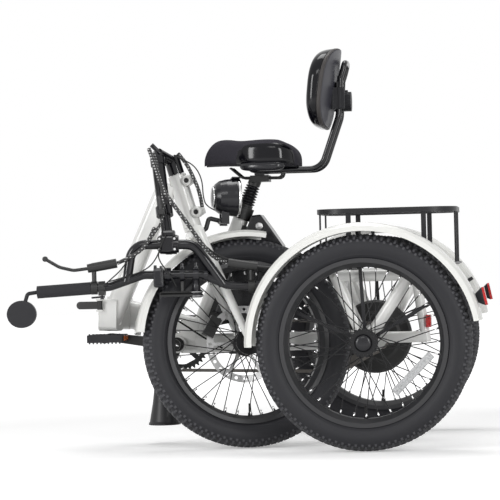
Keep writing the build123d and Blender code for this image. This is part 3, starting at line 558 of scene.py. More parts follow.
def add_block(bm: bmesh.types.BMesh, middle: Point, size: Point, turn: Matrix | None = None,
              round_by: float = 0.0) -> None:
    """Add a block with rounded edges to a bmesh."""
    part = bmesh.new()
    bmesh.ops.create_cube(part, size=1.0, matrix=Matrix.Diagonal((*size, 1.0)))
    if round_by:
        bmesh.ops.bevel(part, geom=part.edges[:], offset=round_by, segments=2, affect="EDGES", profile=0.6)
    place = Matrix.Translation(middle) @ (turn.to_4x4() if turn else Matrix.Identity(4))
    mesh = bpy.data.meshes.new("part")
    bmesh.ops.transform(part, matrix=place, verts=part.verts)
    part.to_mesh(mesh)
    part.free()
    bm.from_mesh(mesh)
    bpy.data.meshes.remove(mesh)


def lathe(name: str, profile: Sequence[tuple[float, float]], place: Matrix, finish: Finish, body: str,
          segments: int = 64) -> bpy.types.Object:
    """A turned piece: (radius, height) points round the Z axis of its place."""
    turns = circle(segments)
    rows = [[tuple(place @ Vector((radius * math.cos(a), radius * math.sin(a), height))) for a in turns]
            for radius, height in profile]
    return grid_piece(name, rows, finish, body, around=True)


def cable(name: str, points: Sequence[Point], radius: float, finish: Finish, body: str) -> bpy.types.Object:
    """A round cable on one smooth curve through its control points."""
    data = bpy.data.curves.new(name, "CURVE")
    data.dimensions = "3D"
    data.bevel_depth = radius
    data.bevel_resolution = 4
    data.use_fill_caps = True
    line = data.splines.new("NURBS")
    line.points.add(len(points) - 1)
    for slot, point in zip(line.points, points):
        slot.co = (*point, 1.0)
    line.order_u = 3
    line.use_endpoint_u = True
    line.resolution_u = 10
    data.materials.append(finish.material())
    obj = put(name, data)
    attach(obj, body)
    LOG.info("cable %s on %s", name, body)
    return obj


# ---- wheels -------------------------------------------------------------------------------------------------

@dataclass
class Wheel:
    """Tread, nipples, valve and flange trim of one 20 x 3.0 wheel, round its own axle."""
    name: str
    body: str
    centre: Vector
    axle: Vector
    outer: int = 0
    pitches: int = 96
    steps: int = 6
    spokes: int = 18
    rim_inside: float = 0.1905
    flange_at: float = 0.0322

    def place(self) -> Matrix:
        """Matrix whose Y axis is the axle and whose origin is the wheel's centre."""
        y = self.axle.normalized()
        x = y.cross(Vector((0, 0, 1))).normalized()
        z = x.cross(y)
        return Matrix.Translation(self.centre) @ Matrix((x, y, z)).transposed().to_4x4()

    def profile(self) -> list[tuple[float, float]]:
        """Half section of the casing as (radius, offset) from the bead to the crown's middle."""
        bead = [(0.2060, 0.0235), (0.2105, 0.0262), (0.2128, 0.0280), (0.2150, 0.0292)]
        wall = [(0.2190, 0.0316), (0.2205, 0.0330), (0.2225, 0.0330), (0.2245, 0.0340), (0.2290, 0.0356),
                (0.2340, 0.0367), (0.2390, 0.0371), (0.2440, 0.0369), (0.2480, 0.0361)]
        tread = [(0.2510, 0.0353), (0.2536, 0.0342), (0.2548, 0.0336), (0.2580, 0.0314), (0.2592, 0.0302),
                 (0.2604, 0.0288), (0.2632, 0.0252), (0.2652, 0.0215), (0.2668, 0.0176), (0.2678, 0.0136),
                 (0.2685, 0.0096), (0.2689, 0.0056), (0.2691, 0.0018)]
        return bead + wall + tread

    def knob(self, angle_step: int, offset: float, radius: float) -> float:
        """Height of the tread at one point of the grid: centre lugs, slanted lugs, then two shoulder rows.

        Args:
            angle_step: the point's step round the tyre.
            offset: its distance from the middle plane, in metres.
            radius: its distance from the axle, in metres.

        Returns:
            The height in metres.
        """
        phase = angle_step % self.steps
        shoulder, gap, crown_height, shoulder_height = 0.2540, (0.2585, 0.2600), 0.0034, 0.0046
        if radius < shoulder or gap[0] < radius < gap[1]:
            return 0.0
        if abs(offset) < 0.008:
            lug = phase % 3 < 2
        elif abs(offset) < 0.020:
            shift = 2 if offset > 0 else 5
            lug = (phase + shift + int(abs(offset) * 200)) % self.steps < 3
        else:
            lug = (phase + (1 if radius > gap[1] else 4)) % self.steps < 3
        height = crown_height if radius > 0.2620 else shoulder_height
        return height if lug else 0.0

    def tyre(self) -> None:
        """Tyre with its bead, sidewall rings and knobs, the knob tops lighter by a painted highlight."""
        half = self.profile()
        section = half + [(r, -y) for r, y in reversed(half)]
        place = self.place()
        count = self.pitches * self.steps
        rows = []
        for n, angle in enumerate(circle(count)):
            row = []
            for radius, offset in section:
                lift = self.knob(n, offset, radius)
                slope = max(0.0, (radius - 0.245) / 0.025)
                r = radius + lift * min(1.0, slope)
                y = offset + math.copysign(lift * max(0.0, 1.0 - slope) * 0.55, offset)
                row.append(tuple(place @ Vector((r * math.cos(angle), y, r * math.sin(angle)))))
            rows.append(row)
        piece = grid_piece(self.name + "_casing", rows, Finish.TYRE, self.body, along=True)
        # The knob tops take the lighter rubber as a painted highlight.
        piece.data.materials.append(Finish.TREAD.material())
        width = len(section) - 1
        for index, face in enumerate(piece.data.polygons):
            step, slot = divmod(index, width)
            radius, offset = section[slot]
            if self.knob(step, offset, radius) and self.knob((step + 1) % count, offset, radius):
                face.material_index = 1
        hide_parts("tyre_" + self.name)

    def nipples(self) -> None:
        """Bright nipples where the spokes enter the rim, and the valve."""
        bm = bmesh.new()
        place = self.place()
        for side in (1, -1):
            for n in range(self.spokes):
                step = 0.002 if n % 2 else -0.002
                turn = math.radians(360.0 * (n + (0.0 if side > 0 else 0.5)) / self.spokes)
                lead = turn + math.radians(54.0 if n % 2 else -54.0)
                inside = self.rim_inside
                rim = Vector((inside * math.cos(turn), side * (0.005 + step), inside * math.sin(turn)))
                hub = Vector((0.028 * math.cos(lead), side * (0.027 + step), 0.028 * math.sin(lead)))
                inner = rim + (hub - rim).normalized() * 0.013
                add_rod(bm, place @ inner, place @ rim, 0.0019, 0.0026, 8)
        piece = finish_mesh(self.name + "_nipples", bm, Finish.CHROME, self.body)
        bm = bmesh.new()
        foot = place @ Vector((0, 0, -self.rim_inside))
        add_rod(bm, foot, place @ Vector((0, 0, -0.158)), 0.004, 0.0032, 12)
        add_rod(bm, foot, place @ Vector((0, 0, -0.182)), 0.0062, 0.0055, 12)
        piece = finish_mesh(self.name + "_valve", bm, Finish.RUBBER, self.body)

    def hub_trim(self) -> None:
        """Notched flange with its spoke heads, and the domed cap, on the outer end of the hub."""
        place = self.place()
        side = self.outer
        y = side * self.flange_at
        bm = bmesh.new()
        steps, notch, tooth_radius, notch_radius = 144, 8, 0.0368, 0.0338
        rows = []
        for n, turn in enumerate(circle(steps)):
            rim = tooth_radius if n % notch < 5 else notch_radius
            levels = ((0.0215, 0.0), (0.0225, 0.0026), (rim - 0.0012, 0.0026), (rim, 0.0012), (rim, -0.0015))
            rows.append([bm.verts.new(place @ Vector((r * math.cos(turn), y + side * out, r * math.sin(turn))))
                         for r, out in levels])
        for one, two in zip(rows, rows[1:] + rows[:1]):
            for k in range(len(one) - 1):
                bm.faces.new((one[k], one[k + 1], two[k + 1], two[k]))
        finish_mesh(self.name + "_flange", bm, Finish.SPOKE, self.body, smooth=False)
        bm = bmesh.new()
        for n in range(self.spokes):
            turn = 2 * math.pi * (n + 0.5) / self.spokes
            head = Vector((0.0300 * math.cos(turn), y, 0.0300 * math.sin(turn)))
            add_rod(bm, place @ head, place @ (head + Vector((0, side * 0.0044, 0))), 0.0020, 0.0015, 8)
        finish_mesh(self.name + "_spoke_heads", bm, Finish.ALLOY, self.body)
        cap = [(0.0206, 0.0), (0.0212, 0.0024), (0.0206, 0.0056), (0.0186, 0.0080), (0.0150, 0.0096),
               (0.0100, 0.0104), (0.0050, 0.0107), (0.0004, 0.0107)]
        turned = rotation(90 if side < 0 else -90, "X")
        base = place @ Matrix.Translation((0, y, 0)) @ turned
        lathe(self.name + "_hub_cap", cap, base, Finish.PLASTIC_GLOSS, self.body, 48)

    def build(self) -> None:
        """Build the wheel's pieces."""
        self.tyre()
        self.nipples()
        if self.outer:
            self.hub_trim()


# ---- seat ---------------------------------------------------------------------------------------------------

@dataclass
class Saddle:
    """Sprung comfort saddle: a blunt matt nose, a wide rear lobe with gloss side panels and a moulded rim."""
    shift: float = ORIGIN
    fineness: int = 7
    panel: tuple[float, float, float] = (-0.3445, -0.1905, 0.7905)
    stations: Sequence[tuple[float, float, float, float]] = field(default_factory=lambda: (
        (-0.4372, 0.022, 0.7350, 0.7450), (-0.4360, 0.034, 0.7345, 0.7560), (-0.4320, 0.043, 0.7342, 0.7680),
        (-0.4260, 0.049, 0.7340, 0.7800), (-0.4170, 0.054, 0.7340, 0.7915), (-0.4060, 0.0575, 0.7340, 0.8005),
        (-0.3940, 0.061, 0.7340, 0.8055), (-0.3800, 0.066, 0.7340, 0.8070), (-0.3640, 0.075, 0.7338, 0.8062),
        (-0.3460, 0.090, 0.7330, 0.8035), (-0.3280, 0.104, 0.7315, 0.8022), (-0.3080, 0.114, 0.7300, 0.8028),
        (-0.2850, 0.1205, 0.7290, 0.8038), (-0.2620, 0.124, 0.7285, 0.8040), (-0.2380, 0.125, 0.7285, 0.8026),
        (-0.2250, 0.1225, 0.7288, 0.7988), (-0.2120, 0.116, 0.7290, 0.7925), (-0.2005, 0.105, 0.7290, 0.7845),
        (-0.1915, 0.090, 0.7290, 0.7750), (-0.1860, 0.072, 0.7290, 0.7640), (-0.1838, 0.052, 0.7300, 0.7520)))

    def section(self, x: float, half: float, low: float, high: float, count: int = 96) -> list[Point]:
        """One cross-section: rounded box, crowned on top with a shallow channel and hollow below."""
        row = []
        mid, tall = (low + high) / 2, (high - low) / 2
        for a in circle(count):
            c, s = math.cos(a), math.sin(a)
            y = half * math.copysign(abs(c) ** 0.28, c)
            z = tall * math.copysign(abs(s) ** 0.44, s)
            if s > 0:
                z -= 0.15 * tall * (y / half) ** 4
                z -= 0.0030 * math.exp(-(y / 0.012) ** 2)
            elif s < 0:
                z += 0.0060 * max(0.0, 1 - (y / half) ** 4)
            row.append((x + self.shift, y, mid + z))
        return row

    def smooth_stations(self) -> list[tuple[float, float, float, float]]:
        """Stations refined by Catmull-Rom between the given ones."""
        points = list(self.stations)
        fine = []
        for n in range(len(points) - 1):
            p0, p1 = points[max(0, n - 1)], points[n]
            p2, p3 = points[n + 1], points[min(len(points) - 1, n + 2)]
            for t in [k / self.fineness for k in range(self.fineness)]:
                fine.append(tuple(0.5 * ((2 * b) + (c - a) * t + (2 * a - 5 * b + 4 * c - d) * t * t
                                         + (3 * b - a - 3 * c + d) * t ** 3) for a, b, c, d in zip(p0, p1, p2, p3)))
        return fine + [points[-1]]

    def cushion(self) -> None:
        """Cushion with its gloss side panels."""
        rows = [self.section(*station) for station in self.smooth_stations()]
        piece = grid_piece("saddle_cushion", rows, Finish.SADDLE, "saddle", around=True)
        piece.data.materials.append(Finish.PATENT.material())
        for face in piece.data.polygons:
            if abs(face.normal.y) > 0.3 and self.in_panel(face.center.x - self.shift, face.center.z):
                face.material_index = 1
        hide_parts("saddle_pad", "saddle_base")

    def in_panel(self, x: float, z: float) -> bool:
        """Whether a point of the side lies in the gloss panel, whose top corners are round."""
        front, rear, top = self.panel
        lead, trail = 0.050, 0.036
        ahead, behind = max(0.0, front + lead - x) / lead, max(0.0, x - rear + trail) / trail
        drop = 0.047 * (1 - math.sqrt(max(0.0, 1 - ahead * ahead)))
        drop += 0.038 * (1 - math.sqrt(max(0.0, 1 - behind * behind)))
        return front < x < rear and z < top - drop

    def rims(self) -> None:
        """Bulging moulded rim under each gloss panel."""
        stations = [s for s in self.smooth_stations() if -0.335 < s[0] < -0.213]
        for name, side in (("left", -1), ("right", 1)):
            rows = []
            for n, (x, half, _, _) in enumerate(stations):
                t = n / (len(stations) - 1)
                swell = (1 - abs(2 * t - 1) ** 3.2) ** 0.5
                tall, deep = 0.0045 + 0.0075 * swell, 0.004 + 0.006 * swell
                turns = circle(20)
                rows.append([(x + self.shift, side * (half - 0.0065 + deep * math.cos(a)),
                              0.7335 - 0.0030 * swell + tall * math.sin(a)) for a in turns])
            piece = grid_piece("saddle_rim_" + name, rows, Finish.PLASTIC_GLOSS, "saddle", around=True)

    def build(self) -> None:
        """Build the saddle's pieces."""
        self.cushion()
        self.rims()


@dataclass
class Backrest:
    """Backrest: a deep gloss cushion in a satin rear shell, curved round the rider and leaning back."""
    shift: float = ORIGIN
    centre_z: float = 0.9335
    half_y: float = 0.148
    half_z: float = 0.1050
    wrap: float = 1.15
    lean: float = 0.15
    pad_edge: float = 0.010
    pad_crown: float = 0.039

    def surface(self, u: float, v: float, depth: float) -> Point:
        """A point of the backrest's face.

        Args:
            u: place across in the unit disc, which is pushed to a rounded oblong.
            v: place up in the disc.
            depth: distance ahead of the shell's edge, in metres.

        Returns:
            The point.
        """
        power = 3.0
        k = math.hypot(u, v) / (abs(u) ** power + abs(v) ** power) ** (1 / power)
        y = u * k * self.half_y
        z = v * k * self.half_z
        tuck = 3.4 * max(0.0, -0.060 - z) ** 2
        x = -0.0840 - depth - tuck - self.wrap * y * y + self.lean * z
        return (x + self.shift, y, self.centre_z + z)

    def dome(self, name: str, levels: Sequence[tuple[float, float | None]], finish: Finish,
             around: int = 120) -> bpy.types.Object:
        """A face of the backrest from its middle out.

        Args:
            name: the piece's name.
            levels: (share of the radius, depth) pairs; depth None follows the pad's crown, fuller at the top.
            finish: its finish.
            around: points round each level.

        Returns:
            The piece.
        """
        turns = circle(around)
        rows = []
        for share, depth in levels:
            deep = [self.pad_edge + self.pad_crown * (1 - share ** (12 + 6 * math.sin(a))) ** 0.5
                    if depth is None else depth for a in turns]
            rows.append([self.surface(share * math.cos(a), share * math.sin(a), d) for a, d in zip(turns, deep)])
        piece = grid_piece(name, rows, finish, "backrest", around=True)
        return piece

    def build(self) -> None:
        """Build the backrest's pieces."""
        front = [(n / 20, None) for n in range(1, 17)]
        front += [(s / 1000, None) for s in (830, 860, 890, 915, 935, 952, 966, 978, 987, 994)]
        front += [(1.0, 0.0110), (0.996, 0.0096), (0.985, 0.0092)]
        cushion = self.dome("backrest_cushion", front, Finish.PATENT)
        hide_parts("backrest_pad")
        edge = [(0.985, 0.0090), (1.002, 0.0086), (1.008, 0.0066), (1.006, 0.0014), (0.994, -0.0004), (0.985, -0.0008)]
        self.dome("backrest_edge", edge, Finish.SHELL_EDGE)
        back = [(n / 24, -0.0008 - 0.0016 * (1 - (n / 24) ** 3.4) ** 0.8) for n in range(1, 24)] + [(0.990, -0.0006)]
        self.dome("backrest_shell", list(reversed(back)), Finish.SHELL)
        self.holder()

    def holder(self) -> None:
        """Slide plate behind the shell, and the clamp's ribs beside the tubes."""
        bm = bmesh.new()
        add_block(bm, (self.shift - 0.0910, 0, 0.926), (0.024, 0.066, 0.088), round_by=0.004)
        for side in (-1, 1):
            add_block(bm, (self.shift - 0.0765, side * 0.0556, 0.9065), (0.0410, 0.0040, 0.0570), round_by=0.0018)
            for x in (-0.0880, -0.0700):
                add_block(bm, (self.shift + x, side * 0.0580, 0.9065), (0.0075, 0.0030, 0.0570), round_by=0.0013)
        finish_mesh("backrest_slide", bm, Finish.PLASTIC, "backrest", smooth=False)
        arch = [(-68, -45, 958), (-61, -45, 978), (-56, -44, 998), (-54, -22, 1002), (-54, 22, 1002), (-56, 44, 998),
                (-61, 45, 978), (-68, 45, 958)]
        loop = cable("backrest_loop", [spot(*p) for p in arch], 0.0075, Finish.BLACK_GLOSS, "saddle")


# ---- cables and fittings ------------------------------------------------------------------------------------

@dataclass
class Cables:
    """Thin cables and hoses between the looms, the levers, the lamp and the brakes."""
    wire: float = 0.0016
    hose: float = 0.0025

    def runs(self) -> dict[str, tuple[Sequence[Point], float, Finish, str]]:
        """Every run: its control points in millimetres, radius, finish and body."""
        wire, hose = self.wire, self.hose
        return {
            "main_loom": (
                [(-552, -228, 780), (-529, -250, 724), (-512, -264, 672), (-479, -276, 626), (-441, -290, 576),
                 (-404, -298, 522), (-378, -267, 490), (-352, -257.4, 481.2)], 0.0055, Finish.LOOM, "bars"),
            "lever_loom": (
                [(-532, -292, 575), (-548, -312, 528), (-600, -308, 497), (-629.2, -286.9, 487.5)],
                0.005, Finish.LOOM, "bars"),
            "lamp_loom": (
                [(-484, -178, 768), (-463, -180, 743), (-445, -184, 706), (-428, -184, 664), (-424, -178, 627)],
                0.005, Finish.LOOM, "steering"),
            "lamp_wire": (
                [(-494, -185, 764), (-470, -186, 752), (-438, -187, 733), (-421, -186, 697), (-420, -184, 652),
                 (-412, -183, 628), (-392, -172, 618)], wire, Finish.CORD, "steering"),
            "lever_hose": (
                [(-541, -214, 772), (-527, -240, 722), (-516, -254, 668), (-508, -268, 626), (-512, -298, 586),
                 (-532, -300, 560), (-560, -309, 520), (-604, -307, 496)], 0.0036, Finish.LOOM, "bars"),
            "shift_cable": (
                [(-546, -216, 768), (-537, -242, 712), (-528, -256, 660), (-519, -272, 606), (-508, -304, 548),
                 (-524, -306, 498), (-553, -299, 468), (-604, -300, 452), (-652, -303, 440)],
                wire, Finish.CORD, "bars"),
            "crossed_cable": (
                [(-500, -306, 556), (-522, -312, 512), (-517, -312, 487), (-492, -306, 455), (-478, -297, 424)],
                wire, Finish.CORD, "bars"),
            "pod_cable": (
                [(-600, -313, 492), (-616, -312, 470), (-642, -311, 448), (-664, -309, 430)],
                wire, Finish.CORD, "bars"),
            "right_hose": (
                [(-420, -297, 536), (-400, -296, 524), (-384, -280, 508), (-363, -264, 494), (-330, -254, 484)],
                hose, Finish.CORD, "bars"),
            "rear_hose": (
                [(-590, -96, 356), (-560, -110, 366), (-503, -112, 330), (-438, -104, 284), (-392, -92, 256)],
                hose, Finish.CORD, "front_half"),
        }

    def build(self) -> None:
        """Build every run."""
        for name, (points, radius, finish, body) in self.runs().items():
            solid = name.endswith("_loom")
            piece = cable(name + "_sleeve" if solid else name, [spot(*p) for p in points], radius, finish, body)
            if solid:
                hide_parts(name)


@dataclass
class Fittings:
    """Small fittings: lamp trim, reflectors, lock, screws and boot."""
    lamp_down: float = 90.0
    lamp_ahead: float = 106.0

    def lamp(self) -> None:
        """Bright rim, rear ring and rear cap of the headlight, on its own axis."""
        middle = head_point(self.lamp_down, self.lamp_ahead)
        place = steered_frame() @ Matrix.Translation(middle) @ rotation(90, "Y")
        rim = [(0.0462, 0.0300), (0.0500, 0.0296), (0.0508, 0.0320), (0.0505, 0.0352), (0.0490, 0.0372),
               (0.0470, 0.0368), (0.0462, 0.0350)]
        ring = [(0.0262, -0.0318), (0.0285, -0.0316), (0.0300, -0.0328), (0.0294, -0.0346), (0.0276, -0.0354),
                (0.0262, -0.0346)]
        cap = [(0.0262, -0.0318), (0.0258, -0.0345), (0.0170, -0.0362), (0.0090, -0.0370), (0.0010, -0.0372)]
        for name, profile, finish, slot, segments in (
                ("lamp_rim", rim, Finish.CHROME, "steel", 64), ("lamp_back_ring", ring, Finish.CHROME, "steel", 48),
                ("lamp_back_cap", cap, Finish.PLASTIC_GLOSS, "gloss_black", 48)):
            lathe(name, profile, place, finish, "headlight", segments)

    def wheel_reflector(self) -> None:
        """Ribbed reflector clipped to the spokes of the left wheel."""
        a, b = Vector(spot(74, -344, 146)), Vector(spot(168, -344, 241))
        along = (b - a).normalized()
        up = Vector((0, -1, 0)).cross(along).normalized()
        turn = Matrix((along, Vector((0, -1, 0)), -up)).transposed()
        bm = bmesh.new()
        add_block(bm, tuple((a + b) / 2), ((b - a).length, 0.006, 0.021), turn, 0.0022)
        finish_mesh("wheel_reflector_left", bm, Finish.REFLECTOR, "wheel_left", smooth=False)
        bm = bmesh.new()
        ribs = 17
        for n in range(ribs):
            place = a + (b - a) * ((n + 0.5) / ribs)
            add_block(bm, tuple(place - Vector((0, 0.0036, 0))), (0.0035, 0.0016, 0.017), turn, 0.0005)
        finish_mesh("wheel_reflector_ribs", bm, Finish.REFLECTOR, "wheel_left", smooth=False)

    def pedals(self) -> None:
        """Amber reflectors in the pedals' ends, and their cage's teeth."""
        for name in ("pedal_left", "pedal_right"):
            low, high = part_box(name)
            mid_y, mid_z = (low[1] + high[1]) / 2, (low[2] + high[2]) / 2
            bm = bmesh.new()
            for x in (low[0] - 0.001, high[0] + 0.001):
                add_block(bm, (x, mid_y, mid_z), (0.003, 0.052, 0.013), round_by=0.0008)
            finish_mesh(name + "_reflectors", bm, Finish.AMBER, name, smooth=False)
            bm = bmesh.new()
            teeth = 9
            y = low[1] + 0.004 if name.endswith("left") else high[1] - 0.004
            for n in range(teeth):
                x = low[0] + 0.006 + (high[0] - low[0] - 0.012) * n / (teeth - 1)
                add_rod(bm, (x, y, mid_z - 0.0135), (x, y, mid_z + 0.0135), 0.0022, sides=8)
            finish_mesh(name + "_pins", bm, Finish.PLASTIC, name, smooth=False)

    def screws(self) -> None:
        """Sunk screws of the head tube's two bosses."""
        frame = front_frame()
        for number, down in enumerate((22, 108)):
            place = frame @ Matrix.Translation(head_point(down, 28, -26)) @ rotation(90, "X")
            profile = [(0.0062, 0.0002), (0.0064, 0.0018), (0.0055, 0.0028), (0.0030, 0.0029), (0.0028, 0.0012),
                       (0.0002, 0.0011)]
            lathe("boss_screw_%d" % number, profile, place, Finish.MOTOR, "front_half", 32)
            collar = [(0.0066, 0.0004), (0.0070, 0.0020), (0.0105, 0.0022), (0.0128, 0.0012), (0.0138, -0.0010),
                      (0.0140, -0.0120), (0.0150, -0.0160)]
            lathe("boss_collar_%d" % number, collar, place, Finish.WHITE, "front_half", 40)

    def lock(self) -> None:
        """Key lock on the battery's near side."""
        low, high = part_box("battery")
        place = Matrix.Translation((spot(-293, 0, 575)[0], low[1], 0.575)) @ rotation(90, "X")
        profile = [(0.0100, -0.001), (0.0102, 0.0014), (0.0090, 0.0026), (0.0060, 0.0022), (0.0045, 0.0030),
                   (0.0002, 0.0031)]
        lathe("battery_lock", profile, place, Finish.STEEL, "battery", 40)

    def boot(self) -> None:
        """Folded rubber boot of the sprung pillar."""
        low, high, folds = 0.025, 0.078, 7
        axis = Vector((math.sin(math.radians(SEAT_TILT)), 0, math.cos(math.radians(SEAT_TILT))))
        foot = Vector(spot(-340.5, 0, 612))
        place = Matrix.Translation(foot) @ Vector((0, 0, 1)).rotation_difference(axis).to_matrix().to_4x4()
        profile = [(0.0128, low + 0.0004), (0.0185, low)]
        for n in range(folds * 10 + 1):
            share = n / (folds * 10)
            wave = abs(math.sin(math.pi * folds * share)) ** 0.7
            profile.append((0.0148 + 0.0074 * wave - 0.0030 * share, low + 0.0006 + (high - low - 0.0012) * share))
        profile += [(0.0150, high), (0.0128, high - 0.0004)]
        piece = lathe("seat_boot_folds", profile, place, Finish.PLASTIC_GLOSS, "seat_post", 72)
        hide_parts("seat_boot")
        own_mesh(piece)

    def build(self) -> None:
        """Build every fitting."""
        self.boot()
        self.lamp()
        self.wheel_reflector()
        self.pedals()
        self.screws()
        self.lock()


@dataclass
class Controls:
    """Control box, bell and clamps on the middle of the bars."""
    middle_x: float = -491.0
    skew: float = 0.106

    def on_bar(self, x: float, z: float, out: float = 0.0) -> Vector:
        """Point in the bar's upright plane from millimetres, out away from the cycle."""
        return Vector(spot(x, -272.0 + (x - self.middle_x) * self.skew - out, z))

    def ring(self, bm: bmesh.types.BMesh, x: float, z: float, radius: float, width: float, sides: int = 40) -> None:
        """Add a clamp ring round the bar, its edges broken."""
        along = Vector((1, self.skew, 0)).normalized()
        middle = self.on_bar(x, z)
        for reach, size in ((width / 2, radius - 0.0012), (width / 2 - 0.0012, radius)):
            add_rod(bm, middle - along * reach, middle + along * reach, size, sides=sides)

    def unit(self) -> None:
        """Control box, ribbed plate and the clamps that carry them."""
        turn = rotation(6, "Z", 3)
        tipped = turn @ rotation(14, "X", 3)
        bm = bmesh.new()
        add_block(bm, self.on_bar(-526, 447), (0.027, 0.040, 0.050), turn, 0.006)
        add_block(bm, self.on_bar(-526, 449, 20), (0.021, 0.006, 0.036), turn, 0.0025)
        for x, z in ((-534, 470), (-519, 468)):
            base = self.on_bar(x, z, 6)
            add_rod(bm, base, base + Vector((0, 0, 0.009)), 0.0045, 0.0036, 20)
        for x, z, radius, width in ((-503, 454.5, 0.0175, 0.016), (-466, 453.5, 0.0180, 0.012),
                                    (-431, 452.5, 0.0175, 0.015), (-406, 451.0, 0.0150, 0.010)):
            self.ring(bm, x, z, radius, width)
        for x, z in ((-466, 470), (-431, 470)):
            base = self.on_bar(x, z)
            add_block(bm, base, (0.010, 0.018, 0.010), turn, 0.002)
            add_rod(bm, base, base + Vector((0, 0, 0.013)), 0.0052, 0.0044, 20)
        piece = finish_mesh("control_unit", bm, Finish.PLASTIC_GLOSS, "bars", smooth=False)
        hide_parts("display_unit")
        bm = bmesh.new()
        add_block(bm, self.on_bar(-481, 404, 8), (0.086, 0.034, 0.0065), tipped, 0.003)
        for n in range(5):
            add_block(bm, self.on_bar(-481, 409.0 + 0.3 * n, 20 - 6 * n), (0.070, 0.0016, 0.0030), tipped, 0.0006)
        add_rod(bm, self.on_bar(-466, 410, 4), self.on_bar(-466, 444, 0), 0.0050, sides=16)
        finish_mesh("control_plate", bm, Finish.ALLOY, "bars", smooth=False)

    def bell(self) -> None:
        """Round bell under the bar with its bright rings."""
        foot = Matrix.Translation(self.on_bar(-431, 396, 6))
        body = [(0.0004, -0.0020), (0.0120, -0.0018), (0.0170, 0.0004), (0.0182, 0.0040), (0.0176, 0.0066),
                (0.0150, 0.0080), (0.0150, 0.0100), (0.0176, 0.0112), (0.0180, 0.0140), (0.0150, 0.0160),
                (0.0110, 0.0200), (0.0090, 0.0270), (0.0090, 0.0460)]
        lathe("bell_body", body, foot, Finish.PLASTIC_GLOSS, "bars", 48)
        for number, (radius, height) in enumerate(((0.0192, 0.0022), (0.0186, 0.0126))):
            band = [(radius - 0.0014, height - 0.0009), (radius, height - 0.0007), (radius + 0.0004, height),
                    (radius, height + 0.0007), (radius - 0.0014, height + 0.0009)]
            lathe("bell_band_%d" % number, band, foot, Finish.STEEL, "bars", 48)

    def arch_clamp(self) -> None:
        """Face plate, shoulders and bolts of the clamp on the arch."""
        turn = rotation(6, "Z", 3)
        corners = [(x, z) for x in (-518, -480) for z in (519, 546)]
        bm = bmesh.new()
        for x, radius, width in ((-519, 0.0225, 0.012), (-499, 0.0268, 0.018), (-479, 0.0225, 0.012)):
            self.ring(bm, x, 532, radius, width)
        add_block(bm, self.on_bar(-499, 533, 24), (0.032, 0.008, 0.038), turn, 0.003)
        add_block(bm, self.on_bar(-499, 558, 2), (0.036, 0.034, 0.020), turn, 0.006)
        for x, z in corners:
            head = self.on_bar(x, z, 17)
            add_rod(bm, head, head + Vector((0, -0.010, 0)), 0.0066, 0.0058, 20)
        finish_mesh("arch_clamp", bm, Finish.BLACK_GLOSS, "bars", smooth=False)
        bm = bmesh.new()
        for x, z in corners:
            head = self.on_bar(x, z, 27)
            add_rod(bm, head, head + Vector((0, -0.0008, 0)), 0.0032, sides=6)
        finish_mesh("arch_clamp_bolts", bm, Finish.STEEL, "bars", smooth=False)

    def build(self) -> None:
        """Build the controls."""
        self.unit()
        self.bell()
        self.arch_clamp()


# ---- studio -------------------------------------------------------------------------------------------------

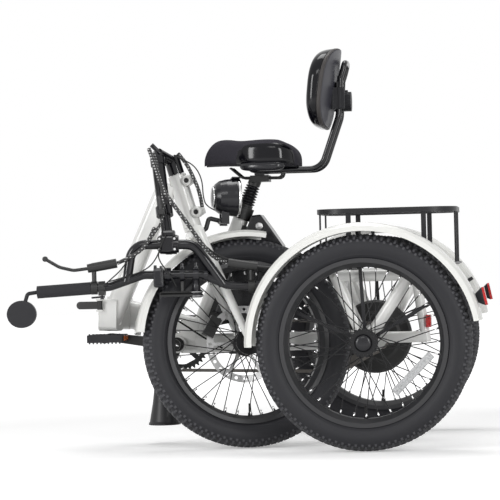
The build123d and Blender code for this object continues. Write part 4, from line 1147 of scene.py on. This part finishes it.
@dataclass
class Studio:
    """Camera, floor, white surround and lamps."""
    eye: Point = (0.7292, -5.9525, 0.495)
    heading: float = 7.2
    pitch: float = 0.17
    roll: float = 1.43
    lens: float = 161.8
    dim: float = 0.22

    def camera(self) -> None:
        """Place the camera."""
        data = bpy.data.cameras.new("camera")
        data.lens, data.sensor_width, data.clip_end = self.lens, 36.0, 60.0
        obj = put("camera", data)
        turn = rotation(self.heading, "Z")
        tilt = rotation(90 + self.pitch, "X")
        bank = rotation(-self.roll, "Z")
        obj.matrix_world = Matrix.Translation(self.eye) @ turn @ tilt @ bank
        bpy.context.scene.camera = obj

    def ground(self) -> None:
        """A wide flat floor, which the white surround meets all round."""
        bm = bmesh.new()
        reach, sink = 14.0, 0.0005
        rows = [[bm.verts.new((x, y, -sink)) for y in (-reach, reach)] for x in (-reach, reach)]
        bm.faces.new((rows[0][0], rows[1][0], rows[1][1], rows[0][1]))
        mesh = bpy.data.meshes.new("ground")
        bm.to_mesh(mesh)
        bm.free()
        obj = put("ground", mesh)
        shader = Shader("pale_floor")
        shader.set(Base_Color=shader.blend(shader.noise(3.0), grey(0.9), grey(0.92)), Roughness=0.9)
        x, y = shader.axis("X"), shader.axis("Y")
        far = ((x * x + y * y - 1.2) * 0.2).clamped()
        shader.set(Emission_Color=shader.blend(far, grey(0.30), grey(0.85)))
        shader.set(Emission_Strength=(shader.ray("Is Camera Ray") + shader.ray("Is Glossy Ray")).clamped())
        mesh.materials.append(shader.material)

    def lamp(self, name: str, spot: Point, aim: Point, size: tuple[float, float], power: float) -> None:
        """One soft oblong lamp, as wide and tall as size."""
        data = bpy.data.lights.new(name, "AREA")
        data.shape = "RECTANGLE"
        data.size, data.size_y = size
        data.energy = power
        obj = put(name, data)
        obj.location = spot
        obj.rotation_euler = (Vector(aim) - Vector(spot)).to_track_quat("-Z", "Y").to_euler()

    def world(self) -> None:
        """A plain surround: white where it is seen, straight on, in gloss or through glass, and dim as a light."""
        world = bpy.data.worlds.new("studio")
        bpy.context.scene.world = world
        world.use_nodes = True
        sky = Nodes(world.node_tree)
        back = sky.tree.nodes["Background"]
        back.inputs["Color"].default_value = (1.0, 1.0, 1.0, 1.0)
        seen = (sky.ray("Is Camera Ray") + sky.ray("Is Transmission Ray") + sky.ray("Is Glossy Ray")).clamped()
        sky.feed(back.inputs["Strength"], seen * (1.0 - self.dim) + self.dim)

    def build(self) -> None:
        """Set up the whole studio."""
        self.camera()
        self.ground()
        self.world()
        self.lamp("left_box", (-3.0, -3.4, 1.5), (0, 0, 0.6), (0.9, 2.4), 98.0)
        self.lamp("right_box", (2.9, -3.7, 1.5), (0, 0, 0.6), (0.7, 2.2), 74.0)
        self.lamp("front", (-0.3, -5.0, 3.4), (0.0, 0, 0.5), (1.6, 1.0), 28.0)
        self.lamp("top", (0.2, 0.4, 3.4), (0, 0, 0.4), (2.0, 1.2), 46.0)
        bpy.context.scene.view_settings.view_transform = "Standard"


def main() -> None:
    """Build every piece and report it."""
    logging.basicConfig(level=logging.INFO, format="%(message)s")
    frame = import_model()
    dress_nodes(frame)
    spots = {joint["name"]: joint for joint in frame["joints"]}
    for name, body, outer in (("left", "wheel_left", -1), ("right", "wheel_right", 1), ("front", "front_wheel", 0)):
        joint = spots[body + "_spin"]
        Wheel(name, body, Vector(joint["pos_m"]), Vector(joint["axis"]), outer=outer).build()
    Saddle().build()
    Backrest().build()
    Cables().build()
    Fittings().build()
    Controls().build()
    Studio().build()


if __name__ == "__main__":
    main()
